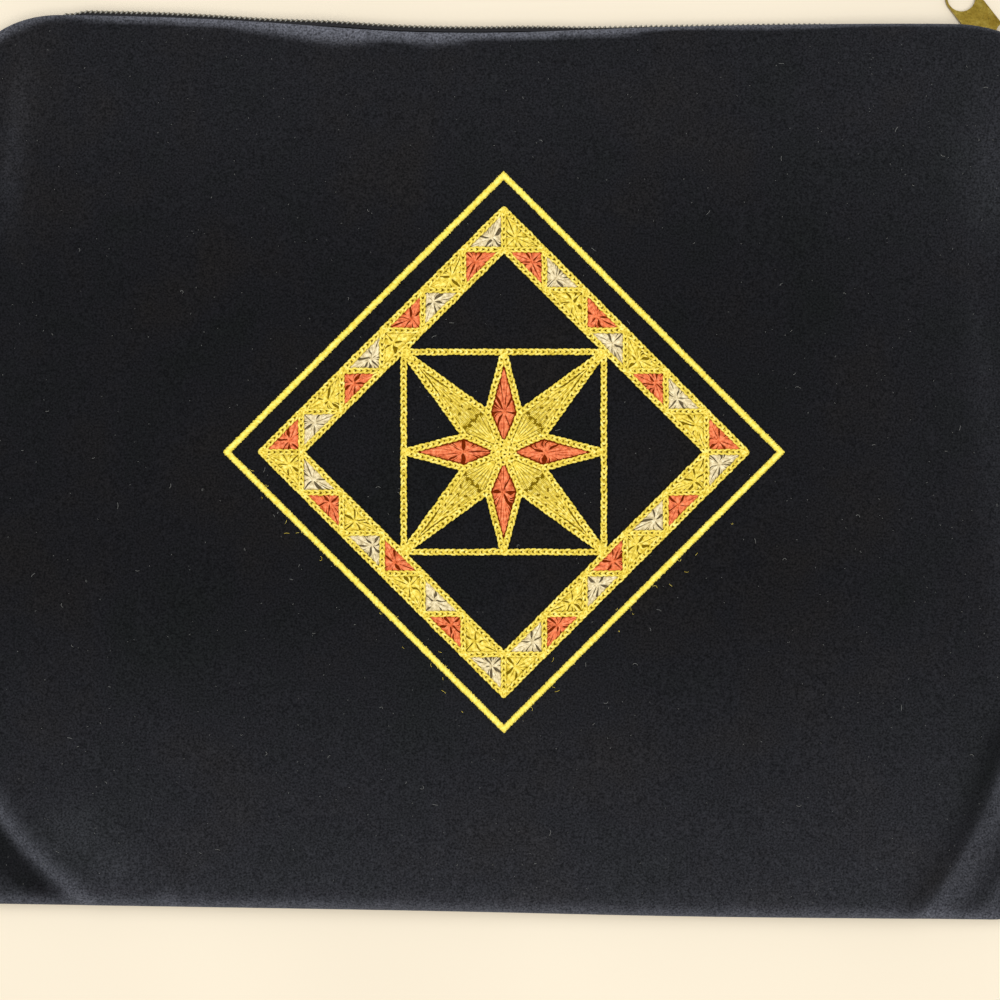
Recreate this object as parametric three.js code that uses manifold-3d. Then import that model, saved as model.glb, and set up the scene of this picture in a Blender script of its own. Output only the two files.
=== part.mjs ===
// A flat velvet zip bag for a prayer shawl, lying on its back, with an embroidered star on its front.
// Millimetres. +X is the bag's right, +Y goes up its height to the zip, +Z goes up from the table.
// The origin is the centre of the flat stretch of the back panel, on the table.
import * as THREE from "three";
import { mergeVertices } from "three/addons/utils/BufferGeometryUtils.js";
import Module from "manifold-3d";

const wasm = await Module();
wasm.setup();

// Driving sizes of the bag.
const WIDTH = 370;
const HEIGHT = 310;
const WALL = 1.5; // velvet with its backing
const SEAM_GAP = 0.3; // between the rims of the two panels
const EDGE_GAP = 0.3; // between a panel's face and its folded edges
const EDGE_HEIGHT = 9; // top of the front panel just inside its rolled edges
const PUFF = 4.6; // how much higher the middle of the front stands
const SIDE_ROLL = 6; // radius of the rolled side edges, in plan
const BOTTOM_ROLL = 5.5; // radius of the rolled bottom edge, in plan

// Corners in plan, as quarter ellipses: how far each runs, as shares of WIDTH across and of HEIGHT down.
const CORNERS = {
  topLeft: { across: 0.0946, down: 0.0774 },
  topRight: { across: 0.0541, down: 0.0581 },
  bottomLeft: { across: 0.0243, down: 0.0258 },
  bottomRight: { across: 0.0324, down: 0.029 },
};

// The velvet's top edge sags between its ends. Places and reaches are shares of WIDTH, the depth of HEIGHT.
const TOP_SAG = { at: -0.068, depth: 0.0142, leftReach: 0.162, rightReach: 0.211 };

// Sides of the front's diagonal folds near the corners. To the right of each line, from start to end, the
// cloth lies lower by drop, or to its left where drop is negative. A fold fades in before its start.
// x and reach are shares of WIDTH, y of HEIGHT and drop of EDGE_HEIGHT.
const FOLDS = [
  { startX: -0.385, startY: -0.52, endX: -0.482, endY: -0.35, drop: -0.2, reach: 0.024 },
  { startX: 0.38, startY: -0.52, endX: 0.475, endY: -0.31, drop: 0.17, reach: 0.022 },
  { startX: 0.435, startY: -0.52, endX: 0.49, endY: -0.4, drop: 0.09, reach: 0.019 },
  { startX: 0.44, startY: -0.02, endX: 0.41, endY: 0.47, drop: 0.178, reach: 0.054 },
  { startX: -0.455, startY: 0.14, endX: -0.43, endY: 0.5, drop: -0.156, reach: 0.032 },
];
const FOLD_FADE = 0.11 * WIDTH;

const COIL = { width: 5.6, thickness: 2.2, start: -0.42 }; // start is a share of WIDTH
const TAPE = { thickness: 0.5, width: 11, edge: 0.4, bend: 1.1, clearance: 0.3, spare: 4 };

const SLIDER = {
  at: 0.4625, // along the mouth, as a share of WIDTH
  length: 9.6,
  noseCorner: 4.6,
  taper: 0.4, // how much narrower the tail is than the nose
  plate: 0.8,
  lip: 0.6, // side walls that hold the coil in
  coilSide: 0.7, // clearance beside the coil
  coilFace: 0.2, // clearance over and under it
  reach: 7, // the hems stand open this far along the mouth, and close over the next stretch
  close: 1.8,
  hemClearance: 1.6,
  wire: 1.4, // the bail's thickness
  bailDrop: 4.1, // from the outer plate to the bail's far side
  bailTail: -1.6, // where the bail's legs stand, along the slider
  bailNose: 3.6,
  bailCorner: 0.9,
  postLength: 2.6,
  postWidth: 2.4,
  postInset: 0.6, // from the nose
};
const CHANNEL = { width: COIL.width + 2 * SLIDER.coilSide, height: COIL.thickness + 2 * SLIDER.coilFace };
const NOSE_WIDTH = CHANNEL.width + 2 * SLIDER.lip;
const SLIDER_X = SLIDER.at * WIDTH;

// The mouth: its zip faces out of the top edge on the left, and rolls under towards the slider on the right.
const BAIL_OFF_TABLE = 0.5;
const MOUTH = {
  leftUnder: 0.8, // height of the bag's underside at the mouth, on the left
  rightUnder: BAIL_OFF_TABLE + SLIDER.bailDrop + SLIDER.plate + SLIDER.coilFace + 0.4, // and at the slider
  rightRise: 3.4, // how much the front also rises there
  leftDepth: 3.2, // how far the rolled top edge reaches out, in plan
  rightDepth: 7.2,
  liftStart: 0.2 * WIDTH,
  liftEnd: 0.43 * WIDTH,
  fadeStart: 0.242 * HEIGHT, // the lift fades in over this distance from the top edge
  fadeEnd: 0.045 * HEIGHT,
  slit: COIL.width / 2 + 0.5, // half the gap between the hems
  sliderSlit: NOSE_WIDTH / 2 + SLIDER.hemClearance, // half the gap beside the slider
  endGap: 0.2, // half the gap where the hems meet, past the zip's ends
  endReach: 5, // the zip turns level and its hems close over this distance from each side
};

// Along the mouth: how far the zip turns under, in degrees, and how far the coil stands out past the velvet,
// as a share of its thickness. x is a share of WIDTH.
const ROLL_TABLE = [
  { x: -0.5, turn: 0 },
  { x: 0, turn: 4 },
  { x: 0.16, turn: 24 },
  { x: 0.27, turn: 52 },
  { x: 0.38, turn: 82 },
  { x: 0.43, turn: 108 },
  { x: 0.5, turn: 108 },
];
const COIL_SHOWING = [
  { x: -0.5, out: 0 },
  { x: -0.385, out: 0.41 },
  { x: -0.24, out: 0.37 },
  { x: -0.15, out: 0.86 },
  { x: 0, out: 0.86 },
  { x: 0.1, out: 0.28 },
  { x: 0.2, out: 0.14 },
  { x: 0.5, out: 0.18 },
];

const PULL = {
  thickness: 1.1,
  width: 11.1,
  ringWall: 0.65,
  ringToShoulder: 15.7,
  neckLength: 12.1, // from the shoulders to the middle of the eye
  shoulderRadius: 3.4,
  shoulderCorner: 0.3,
  eyeClearance: 0.35, // round the bail's leg
  eyeWall: 0.7,
  heading: 128, // degrees in plan, from +X
  tipHeight: 0.25, // the far end's lowest point over the table
  barClearance: 0.3, // between the eye and the bail's bar, under it
};

// The embroidery. Its band and square count in steps of the band's triangles.
const STEP = 13.9;
const EMBROIDERY = {
  x: 0.2,
  y: 4.6,
  turn: 0.9, // degrees, against the bag's edges
  lift: 0.3, // over the velvet
  threadHeight: 1,
  fillShare: 0.9, // height of the petals, against the lines around them
  chainRelief: 0.4,
  chainWidth: 2,
  satinRadius: 96.2, // from the middle to a corner of the border line
  satinWidth: 2.5,
  satinParts: 8, // each side's parts, so that it follows the cloth
  bandSteps: 6,
  squareSteps: 2.5,
  valleySteps: 1.18,
  pieceGap: 0.3,
};

// The panels' grid.
const FACE_ROWS = 14; // the same on both panels, so that their rims bend alike
const FACE_COLUMNS = 22;
const CLOSEST_COLUMNS = 1;
const CROWDED_START = 0.4; // the grid's steps at its ends, as a share of its mean step
const ROLL_ROWS = { front: 8, back: 6 };
const ROUND_STEPS = [0, 0.08, 0.3, 0.62]; // across a rolled edge, from the rim
const GAP_SHARE = EDGE_GAP / (CROWDED_START * (HEIGHT - BOTTOM_ROLL));
const FACE_STEPS = [0, GAP_SHARE, ...Array.from({ length: FACE_ROWS - 1 }, (_, i) => (i + 1) / FACE_ROWS)];

const COLOURS = {
  velvet: { color: 0x10151f, roughness: 0.95, metalness: 0 },
  tape: { color: 0x15181f, roughness: 0.9, metalness: 0 },
  coil: { color: 0x3a3428, roughness: 0.45, metalness: 0.1 },
  brass: { color: 0xa08a3c, roughness: 0.35, metalness: 1 },
  gold: { color: 0xe6c93a, roughness: 0.5, metalness: 0 },
  red: { color: 0xd8452c, roughness: 0.5, metalness: 0 },
};

const radians = THREE.MathUtils.degToRad;
const clamp = THREE.MathUtils.clamp;
const smooth = (from, to, value) => {
  const t = clamp((value - from) / (to - from), 0, 1);
  return t * t * (3 - 2 * t);
};

// Reads a column of a table at a share of WIDTH, smoothly between its rows.
function readTable(table, column, x) {
  const after = table.findIndex((row) => row.x > x);
  if (after < 0) return table[table.length - 1][column];
  if (after === 0) return table[0][column];
  const [low, high] = [table[after - 1], table[after]];
  return THREE.MathUtils.lerp(low[column], high[column], smooth(low.x, high.x, x));
}

// The velvet's outline in plan.
function cornerDrop(x, left, right) {
  const corner = x < 0 ? left : right;
  const across = corner.across * WIDTH;
  const into = Math.max(0, (Math.abs(x) - (WIDTH / 2 - across)) / across);
  return corner.down * HEIGHT * (1 - Math.sqrt(Math.max(0, 1 - into * into)));
}

function topEdge(x) {
  const from = x / WIDTH - TOP_SAG.at;
  const reach = from < 0 ? TOP_SAG.leftReach : TOP_SAG.rightReach;
  const sag = TOP_SAG.depth * HEIGHT * Math.exp(-((from / reach) ** 2));
  return HEIGHT / 2 - sag - cornerDrop(x, CORNERS.topLeft, CORNERS.topRight);
}

function bottomEdge(x) {
  return -HEIGHT / 2 + cornerDrop(x, CORNERS.bottomLeft, CORNERS.bottomRight);
}

// Heights of the two faces.
function mouthLift(x, y) {
  const top = HEIGHT / 2;
  const level = y + cornerDrop(x, CORNERS.topLeft, CORNERS.topRight);
  return smooth(top - MOUTH.fadeStart, top - MOUTH.fadeEnd, level);
}

function sliderLift(x) {
  return smooth(MOUTH.liftStart, MOUTH.liftEnd, x);
}

function backZ(x, y) {
  const under = THREE.MathUtils.lerp(MOUTH.leftUnder, MOUTH.rightUnder, sliderLift(x));
  return under * mouthLift(x, y);
}

function foldDrop(x, y) {
  let total = 0;
  for (const fold of FOLDS) {
    const [ax, ay] = [fold.startX * WIDTH, fold.startY * HEIGHT];
    const along = new THREE.Vector2(fold.endX * WIDTH - ax, fold.endY * HEIGHT - ay).normalize();
    const side = (x - ax) * along.y - (y - ay) * along.x; // positive to the right of the line
    const past = fold.drop > 0 ? side : -side;
    const fade = smooth(-FOLD_FADE, 0, (x - ax) * along.x + (y - ay) * along.y);
    const reach = fold.reach * WIDTH;
    total += Math.abs(fold.drop) * EDGE_HEIGHT * fade * smooth(-reach / 2, reach / 2, past);
  }
  return total;
}

function frontZ(x, y) {
  const crown = (1 - Math.abs((2 * x) / WIDTH) ** 4) * (1 - Math.abs((2 * y) / HEIGHT) ** 4);
  const rise = MOUTH.rightRise * sliderLift(x) * mouthLift(x, y);
  return EDGE_HEIGHT + PUFF * Math.max(0, crown) + rise - foldDrop(x, y) * (1 - mouthLift(x, y));
}

// The seam between the panels stays level past the folds.
const seamZ = (x, y) => (EDGE_HEIGHT + MOUTH.rightRise * sliderLift(x) * mouthLift(x, y) + backZ(x, y)) / 2;

// A quarter ellipse from the rim, at 0, to the face, at 1.
const roundUp = (t) => Math.sqrt(Math.max(0, 1 - (1 - clamp(t, 0, 1)) ** 2));
const sideRound = (x) => roundUp((WIDTH / 2 - Math.abs(x)) / SIDE_ROLL);

// The rolled top edge at x: an ellipse between the two faces, seen along X.
function rolledEdge(x, inset) {
  const depth = THREE.MathUtils.lerp(MOUTH.leftDepth, MOUTH.rightDepth, sliderLift(x));
  const centreY = topEdge(x) - depth;
  const [top, under] = [frontZ(x, centreY), backZ(x, centreY)];
  const flat = sideRound(x);
  const [y, z] = [depth - inset, ((top - under) / 2 - inset) * flat];
  const quarter = (Math.PI / 2) * Math.sqrt((depth ** 2 + ((top - under) / 2) ** 2) / 2);
  return { centreY, centreZ: (top + under) / 2, y, z, quarter };
}

// A point of the mouth's rolled skin. along counts from the outermost line, positive over the top.
function rolledPoint(x, along, inset) {
  const edge = rolledEdge(x, inset);
  const turn = (clamp(along / edge.quarter, -1, 1) * Math.PI) / 2;
  const past = Math.max(0, Math.abs(along) - edge.quarter);
  const y = edge.centreY + edge.y * Math.cos(turn) - past;
  let z = edge.centreZ + edge.z * Math.sin(turn);
  if (past > 0 && along < 0) z += (backZ(x, y) - backZ(x, edge.centreY)) * sideRound(x);
  return new THREE.Vector3(x, y, z);
}

// Where the zip's middle line runs on the rolled skin, and how far the hems stay from it.
const zipEnds = (x) => smooth(0, MOUTH.endReach, WIDTH / 2 - Math.abs(x));
const zipTurn = (x) => readTable(ROLL_TABLE, "turn", x / WIDTH) * zipEnds(x);
const zipAlong = (x) => (-rolledEdge(x, 0).quarter * zipTurn(x)) / 90;
const besideSlider = (x) => smooth(SLIDER.reach + SLIDER.close, SLIDER.reach, Math.abs(x - SLIDER_X));
function slit(x) {
  const open = THREE.MathUtils.lerp(MOUTH.slit, MOUTH.sliderSlit, besideSlider(x));
  const fromSide = WIDTH / 2 - Math.abs(x);
  return THREE.MathUtils.lerp(MOUTH.endGap, open, smooth(0.3 * MOUTH.endReach, MOUTH.endReach, fromSide));
}

// Runs from 0 to 1 as t does, in steps that are smaller at both ends, where the cloth bends most.
const crowded = (t) => CROWDED_START * t + ((1 - CROWDED_START) / 2) * (1 - Math.cos(Math.PI * t));

// Columns that the pieces along the mouth share: over the rolled side edges, the face and beside the slider.
function columns() {
  const half = WIDTH / 2;
  const inner = half - SIDE_ROLL;
  const edge = [...ROUND_STEPS.map((t) => half - t * SIDE_ROLL), inner, inner - EDGE_GAP];
  const nearSlider = [-1, 1].flatMap((side) => [
    SLIDER_X + side * SLIDER.reach,
    SLIDER_X + side * (SLIDER.reach + SLIDER.close),
  ]);
  const beside = nearSlider.filter((x) => x < inner - 2 * CLOSEST_COLUMNS);
  const kept = [...edge, ...edge.map((x) => -x), ...beside];
  for (let i = 1; i < FACE_COLUMNS; i++) {
    const x = inner * (1 - 2 * crowded(i / FACE_COLUMNS));
    if (kept.every((other) => Math.abs(other - x) > CLOSEST_COLUMNS)) kept.push(x);
  }
  return kept.sort((a, b) => a - b);
}

// One skin of a panel: rows of points from the bottom edge to the mouth's hem.
function panelRows(x, isFront, inset) {
  const shrunkX = x * (1 - inset / (WIDTH / 2));
  const rim = isFront ? SEAM_GAP / 2 : -SEAM_GAP / 2;
  const faceZ = (y) => (isFront ? frontZ(x, y) - inset : backZ(x, y) + inset);
  const low = bottomEdge(x) + inset;
  const top = rolledEdge(x, inset);
  const rows = [];
  for (const t of ROUND_STEPS) {
    const y = low + t * (BOTTOM_ROLL - inset);
    const seam = seamZ(x, y) + rim;
    rows.push([y, seam + (faceZ(y) - seam) * roundUp(t) * sideRound(x)]);
  }
  const start = low + BOTTOM_ROLL - inset;
  for (const t of FACE_STEPS) {
    const y = THREE.MathUtils.lerp(start, top.centreY, crowded(t));
    const seam = seamZ(x, y) + rim;
    rows.push([y, seam + (faceZ(y) - seam) * sideRound(x)]);
  }
  const [zip, open] = [zipAlong(x), slit(x)];
  const [first, last] = isFront ? [top.quarter, zip + open] : [-top.quarter - 2 * open, zip - open];
  const rollRows = isFront ? ROLL_ROWS.front : ROLL_ROWS.back;
  for (let i = 0; i <= rollRows; i++) {
    const along = THREE.MathUtils.lerp(first, last, i / rollRows);
    const point = rolledPoint(x, along, inset);
    rows.push([point.y, point.z + rim * (1 - sideRound(x))]);
  }
  return rows.map(([y, z]) => new THREE.Vector3(shrunkX, y, z));
}

// A closed mesh from a list of corner points and faces.
function meshGeometry(points, triangles) {
  const geometry = new THREE.BufferGeometry();
  const flat = points.flatMap((p) => [p.x, p.y, p.z]);
  geometry.setAttribute("position", new THREE.Float32BufferAttribute(flat, 3));
  geometry.setIndex(triangles.flat());
  geometry.computeVertexNormals();
  return geometry;
}

// A wall between two grids of points of the same size. facing is 1 where outer looks up, or else -1.
function wallGeometry(outer, inner, facing) {
  const [columnsCount, rowsCount] = [outer.length, outer[0].length];
  const points = [...outer.flat(), ...inner.flat()];
  const shift = columnsCount * rowsCount;
  const at = (i, j) => i * rowsCount + j;
  const triangles = [];
  const quad = (a, b, c, d) => {
    const faces = [[a, b, c], [a, c, d]];
    for (const face of faces) triangles.push(facing > 0 ? face : [face[0], face[2], face[1]]);
  };
  for (let i = 0; i < columnsCount - 1; i++) {
    for (let j = 0; j < rowsCount - 1; j++) {
      quad(at(i, j), at(i + 1, j), at(i + 1, j + 1), at(i, j + 1));
      quad(shift + at(i, j), shift + at(i, j + 1), shift + at(i + 1, j + 1), shift + at(i + 1, j));
    }
    const last = rowsCount - 1;
    quad(at(i, 0), shift + at(i, 0), shift + at(i + 1, 0), at(i + 1, 0));
    quad(at(i, last), at(i + 1, last), shift + at(i + 1, last), shift + at(i, last));
  }
  for (let j = 0; j < rowsCount - 1; j++) {
    const last = columnsCount - 1;
    quad(at(0, j), at(0, j + 1), shift + at(0, j + 1), shift + at(0, j));
    quad(at(last, j), shift + at(last, j), shift + at(last, j + 1), at(last, j + 1));
  }
  return meshGeometry(points, triangles);
}

// A panel's face and its folded edges: at both sides, all the way up, and along the bottom between them.
function panelPieces(isFront) {
  const [outer, inner] = [0, WALL].map((inset) => columns().map((x) => panelRows(x, isFront, inset)));
  const piece = (columnRange, rowRange) => {
    const [a, b] = [outer, inner].map((skin) =>
      skin.slice(...columnRange).map((rows) => rows.slice(...rowRange)),
    );
    return facingOut(wallGeometry(a, b, isFront ? 1 : -1));
  };
  const edge = ROUND_STEPS.length + 1; // points across an edge
  const last = outer.length - edge;
  return {
    panel: piece([edge, last], [edge]),
    edge_left: piece([0, edge], [0]),
    edge_right: piece([last], [0]),
    edge_bottom: piece([edge, last], [0, edge]),
  };
}

// The zip's own frame at x: a point of the middle line, the way out and the way across to the front panel.
function zipFrame(x) {
  const along = zipAlong(x);
  const [before, here, after] = [-0.2, 0, 0.2].map((d) => rolledPoint(x, along + d, 0));
  const across = after.sub(before).setX(0).normalize();
  const out = new THREE.Vector3(0, across.z, -across.y);
  return { here, out, across };
}

// The coil's middle, measured out from the velvet's skin.
const coilOut = (x) => COIL.thickness * (readTable(COIL_SHOWING, "out", x / WIDTH) - 0.5);

// A bar along the zip whose section is an outline of [across, out] points.
function zipBar(xs, sectionAt) {
  const rings = xs.map((x) => {
    const frame = zipFrame(x);
    return sectionAt(x).map(([across, out]) =>
      frame.here.clone().addScaledVector(frame.across, across).addScaledVector(frame.out, out),
    );
  });
  return closedRings(rings);
}

// A closed body through rings of points, with flat ends.
function closedRings(rings) {
  const size = rings[0].length;
  const points = rings.flat();
  const triangles = [];
  for (let r = 0; r < rings.length - 1; r++) {
    for (let k = 0; k < size; k++) {
      const [a, b] = [r * size + k, r * size + ((k + 1) % size)];
      triangles.push([a, b, b + size], [a, b + size, a + size]);
    }
  }
  // A ring's second half mirrors its first, so each lid is a row of faces between the two.
  const end = (rings.length - 1) * size;
  for (let k = 0; k < size / 2 - 1; k++) {
    const [a, b, c, d] = [k, k + 1, size - 2 - k, size - 1 - k];
    triangles.push([c, b, a], [d, c, a], [end + a, end + b, end + c], [end + a, end + c, end + d]);
  }
  return facingOut(meshGeometry(points, triangles));
}

function solidOf(geometry) {
  const bare = geometry.index ? geometry.toNonIndexed() : geometry.clone();
  const position = new THREE.BufferGeometry().setAttribute("position", bare.getAttribute("position"));
  const merged = mergeVertices(position, 1e-4);
  const mesh = new wasm.Mesh({
    numProp: 3,
    vertProperties: new Float32Array(merged.attributes.position.array),
    triVerts: new Uint32Array(merged.index.array),
  });
  return new wasm.Manifold(mesh);
}

function geometryOf(solid) {
  const mesh = solid.getMesh();
  const geometry = new THREE.BufferGeometry();
  geometry.setAttribute("position", new THREE.BufferAttribute(new Float32Array(mesh.vertProperties), 3));
  geometry.setIndex(new THREE.BufferAttribute(new Uint32Array(mesh.triVerts), 1));
  geometry.computeVertexNormals();
  return geometry;
}

// Turns a closed mesh that faces inwards the right way round.
function facingOut(geometry) {
  if (solidOf(geometry).volume() > 0) return geometry;
  const index = Array.from(geometry.index.array);
  for (let i = 0; i < index.length; i += 3) [index[i + 1], index[i + 2]] = [index[i + 2], index[i + 1]];
  geometry.setIndex(index);
  geometry.computeVertexNormals();
  return geometry;
}

// The shared columns from one place along the mouth to another, both included.
function alongMouth(from, to) {
  const between = columns().filter((x) => x > from + CLOSEST_COLUMNS && x < to - CLOSEST_COLUMNS);
  return [from, ...between, to];
}

// The coil runs from its start to just past the slider's middle.
function coil() {
  const [w, t] = [COIL.width / 2, COIL.thickness / 2];
  const section = (x) => {
    const sides = 10;
    return Array.from({ length: sides }, (_, k) => {
      const turn = ((k + 0.5) * 2 * Math.PI) / sides;
      return [w * Math.cos(turn), coilOut(x) + t * Math.sin(turn)];
    });
  };
  const end = SLIDER_X + SLIDER.length / 2 - SLIDER.postLength - SLIDER.postInset - 1;
  return zipBar(alongMouth(COIL.start * WIDTH, end), section);
}

// A tape: a strip from behind the coil, under the hem, and along the inside of its panel's rolled edge.
function tapeSection(x, side) {
  const behindCoil = COIL.thickness / 2 - coilOut(x) + TAPE.clearance;
  const behindWall = WALL + TAPE.clearance;
  const bend = MOUTH.slit - TAPE.bend;
  const line = [
    [TAPE.edge, behindCoil],
    [bend, behindCoil],
    [bend + TAPE.bend, behindWall],
    [(bend + TAPE.width) / 2, behindWall],
    [TAPE.width, behindWall],
  ];
  const zip = zipAlong(x);
  const skin = (depth) => line.map(([along, inset]) => rolledPoint(x, zip + side * along, inset + depth));
  return [...skin(0), ...skin(TAPE.thickness).reverse()];
}

// The tapes end at the slider's tail.
function tape(side) {
  const xs = alongMouth(COIL.start * WIDTH - TAPE.spare, SLIDER_X - SLIDER.reach - SLIDER.close);
  return closedRings(xs.map((x) => tapeSection(x, side)));
}

// Extrudes an outline by depth, centred on its own plane.
function plate(shape, depth, curveSegments = 12) {
  const geometry = new THREE.ExtrudeGeometry(shape, { depth, bevelEnabled: false, curveSegments });
  return geometry.translate(0, 0, -depth / 2);
}

const box = (x, y, z, sx, sy, sz) => solidOf(new THREE.BoxGeometry(sx, sy, sz).translate(x, y, z));

// The slider's middle on the coil, and how far it turns in plan as it follows the corner.
function sliderPlace() {
  const coilAt = (x) => {
    const frame = zipFrame(x);
    return frame.here.clone().addScaledVector(frame.out, coilOut(x));
  };
  const half = SLIDER.length / 2;
  const [tail, nose] = [coilAt(SLIDER_X - half), coilAt(SLIDER_X + half)];
  return { at: coilAt(SLIDER_X), turn: Math.atan2(nose.y - tail.y, nose.x - tail.x) };
}

function sliderOutline() {
  const [l, n, t] = [SLIDER.length / 2, NOSE_WIDTH / 2, (NOSE_WIDTH - SLIDER.taper) / 2];
  const shape = new THREE.Shape();
  shape.moveTo(-l, -t);
  shape.lineTo(0, -n);
  shape.lineTo(l - SLIDER.noseCorner, -n);
  shape.quadraticCurveTo(l, -n, l, 0);
  shape.quadraticCurveTo(l, n, l - SLIDER.noseCorner, n);
  shape.lineTo(0, n);
  shape.lineTo(-l, t);
  shape.closePath();
  return shape;
}

const OUTER_FACE = CHANNEL.height / 2 + SLIDER.plate; // from the coil's middle

// The round wire bail: two legs and a bar between them, in the slider's own frame.
function bail() {
  const { bailTail: tail, bailNose: nose, bailCorner: corner } = SLIDER;
  const root = OUTER_FACE - SLIDER.plate / 2;
  const far = OUTER_FACE + SLIDER.bailDrop - SLIDER.wire / 2;
  const path = new THREE.CurvePath();
  const at = (x, z) => new THREE.Vector3(x, 0, z);
  path.add(new THREE.LineCurve3(at(tail, root), at(tail, far - corner)));
  path.add(new THREE.QuadraticBezierCurve3(at(tail, far - corner), at(tail, far), at(tail + corner, far)));
  path.add(new THREE.LineCurve3(at(tail + corner, far), at(nose - corner, far)));
  path.add(new THREE.QuadraticBezierCurve3(at(nose - corner, far), at(nose, far), at(nose, far - corner)));
  path.add(new THREE.LineCurve3(at(nose, far - corner), at(nose, root)));
  const wire = new THREE.Shape().absarc(0, 0, SLIDER.wire / 2, 0, 2 * Math.PI);
  return new THREE.ExtrudeGeometry(wire, { steps: 24, curveSegments: 5, extrudePath: path });
}

function slider() {
  const outline = sliderOutline();
  const plateAt = OUTER_FACE - SLIDER.plate / 2;
  const outer = solidOf(plate(outline, SLIDER.plate, 4).translate(0, 0, plateAt));
  const inner = solidOf(plate(outline, SLIDER.plate, 4).translate(0, 0, -plateAt));
  const whole = solidOf(plate(outline, CHANNEL.height + SLIDER.plate, 4));
  const channel = box(0, 0, 0, 2 * SLIDER.length, CHANNEL.width, 2 * CHANNEL.height);
  const tapeWay = box(0, 0, -CHANNEL.height / 4, 2 * SLIDER.length, 2 * NOSE_WIDTH, CHANNEL.height / 2);
  const lips = whole.subtract(channel).subtract(tapeWay);
  const postX = SLIDER.length / 2 - SLIDER.postLength / 2 - SLIDER.postInset;
  const post = box(postX, 0, 0, SLIDER.postLength, SLIDER.postWidth, CHANNEL.height + SLIDER.plate);
  const solid = outer.add(inner).add(lips).add(post).add(solidOf(facingOut(indexed(bail()))));
  return geometryOf(solid);
}

// The pull, flat, with its eye at the origin and its ring along +X.
function pullOutline() {
  const { neckLength: neck, shoulderRadius, shoulderCorner: corner } = PULL;
  const [half, ringX] = [PULL.width / 2, neck + PULL.ringToShoulder];
  const eye = SLIDER.wire / 2 + PULL.eyeClearance;
  const neckHalf = eye + PULL.eyeWall;
  const shape = new THREE.Shape();
  shape.absarc(0, 0, neckHalf, Math.PI / 2, (3 * Math.PI) / 2);
  shape.lineTo(neck - shoulderRadius, -neckHalf);
  shape.quadraticCurveTo(neck, -neckHalf, neck, -half + corner);
  shape.lineTo(neck + corner, -half);
  shape.lineTo(ringX, -half);
  shape.absarc(ringX, 0, half, -Math.PI / 2, Math.PI / 2);
  shape.lineTo(neck + corner, half);
  shape.lineTo(neck, half - corner);
  shape.quadraticCurveTo(neck, neckHalf, neck - shoulderRadius, neckHalf);
  shape.holes.push(new THREE.Path().absarc(ringX, 0, half - PULL.ringWall, 0, 2 * Math.PI, true));
  shape.holes.push(new THREE.Path().absarc(0, 0, eye, 0, 2 * Math.PI, true));
  return shape;
}

// The embroidery's plates follow the velvet: each vertex stands over the front panel.
const turned = (x, y) => {
  const [cos, sin] = [Math.cos(radians(EMBROIDERY.turn)), Math.sin(radians(EMBROIDERY.turn))];
  return [EMBROIDERY.x + x * cos - y * sin, EMBROIDERY.y + x * sin + y * cos];
};

function draped(geometry) {
  const position = geometry.getAttribute("position");
  for (let i = 0; i < position.count; i++) {
    const [x, y] = turned(position.getX(i), position.getY(i));
    position.setXYZ(i, x, y, position.getZ(i) + frontZ(x, y) + EMBROIDERY.lift);
  }
  geometry.computeVertexNormals();
  return geometry;
}

// A closed path through corner points, each side cut into parts so that it can follow the cloth.
function polygon(corners, parts, Kind = THREE.Shape) {
  const path = new Kind();
  corners.forEach(([x, y], k) => {
    const [nextX, nextY] = corners[(k + 1) % corners.length];
    for (let p = 0; p < parts; p++) {
      const [px, py] = [x + ((nextX - x) * p) / parts, y + ((nextY - y) * p) / parts];
      if (k === 0 && p === 0) path.moveTo(px, py);
      else path.lineTo(px, py);
    }
  });
  path.closePath();
  return path;
}

const diamond = (radius) => [[radius, 0], [0, radius], [-radius, 0], [0, -radius]];

// A raised diamond line between two radii, each side in parts.
function diamondLine(inner, outer, height, parts) {
  const corners = [diamond(outer), diamond(inner)];
  const loops = corners.map((loop) => polygon(loop, parts).getPoints().slice(0, 4 * parts));
  const count = 4 * parts;
  const at = (point, z) => new THREE.Vector3(point.x, point.y, z);
  const points = [];
  for (let k = 0; k < count; k++) {
    const [out, into] = [loops[0][k], loops[1][k]];
    points.push(at(out, 0), at(into, 0), at(into, height), at(out, height));
  }
  const triangles = [];
  for (let k = 0; k < count; k++) {
    for (let side = 0; side < 4; side++) {
      const [a, b] = [4 * k + side, 4 * k + ((side + 1) % 4)];
      const [c, d] = [4 * ((k + 1) % count) + ((side + 1) % 4), 4 * ((k + 1) % count) + side];
      triangles.push([a, b, c], [a, c, d]);
    }
  }
  return facingOut(meshGeometry(points, triangles));
}

function raised(shape, height, base = 0) {
  return new THREE.ExtrudeGeometry(shape, { depth: height, bevelEnabled: false }).translate(0, 0, base);
}

function satinBorder() {
  const half = (EMBROIDERY.satinWidth / 2) * Math.SQRT2;
  const { satinRadius, threadHeight, satinParts } = EMBROIDERY;
  return draped(diamondLine(satinRadius - half, satinRadius + half, threadHeight, satinParts));
}

const halfChain = EMBROIDERY.chainWidth / 2;
const bandOuter = EMBROIDERY.bandSteps * STEP + halfChain * Math.SQRT2;
const bandInner = (EMBROIDERY.bandSteps - 1) * STEP - halfChain * Math.SQRT2;

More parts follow.
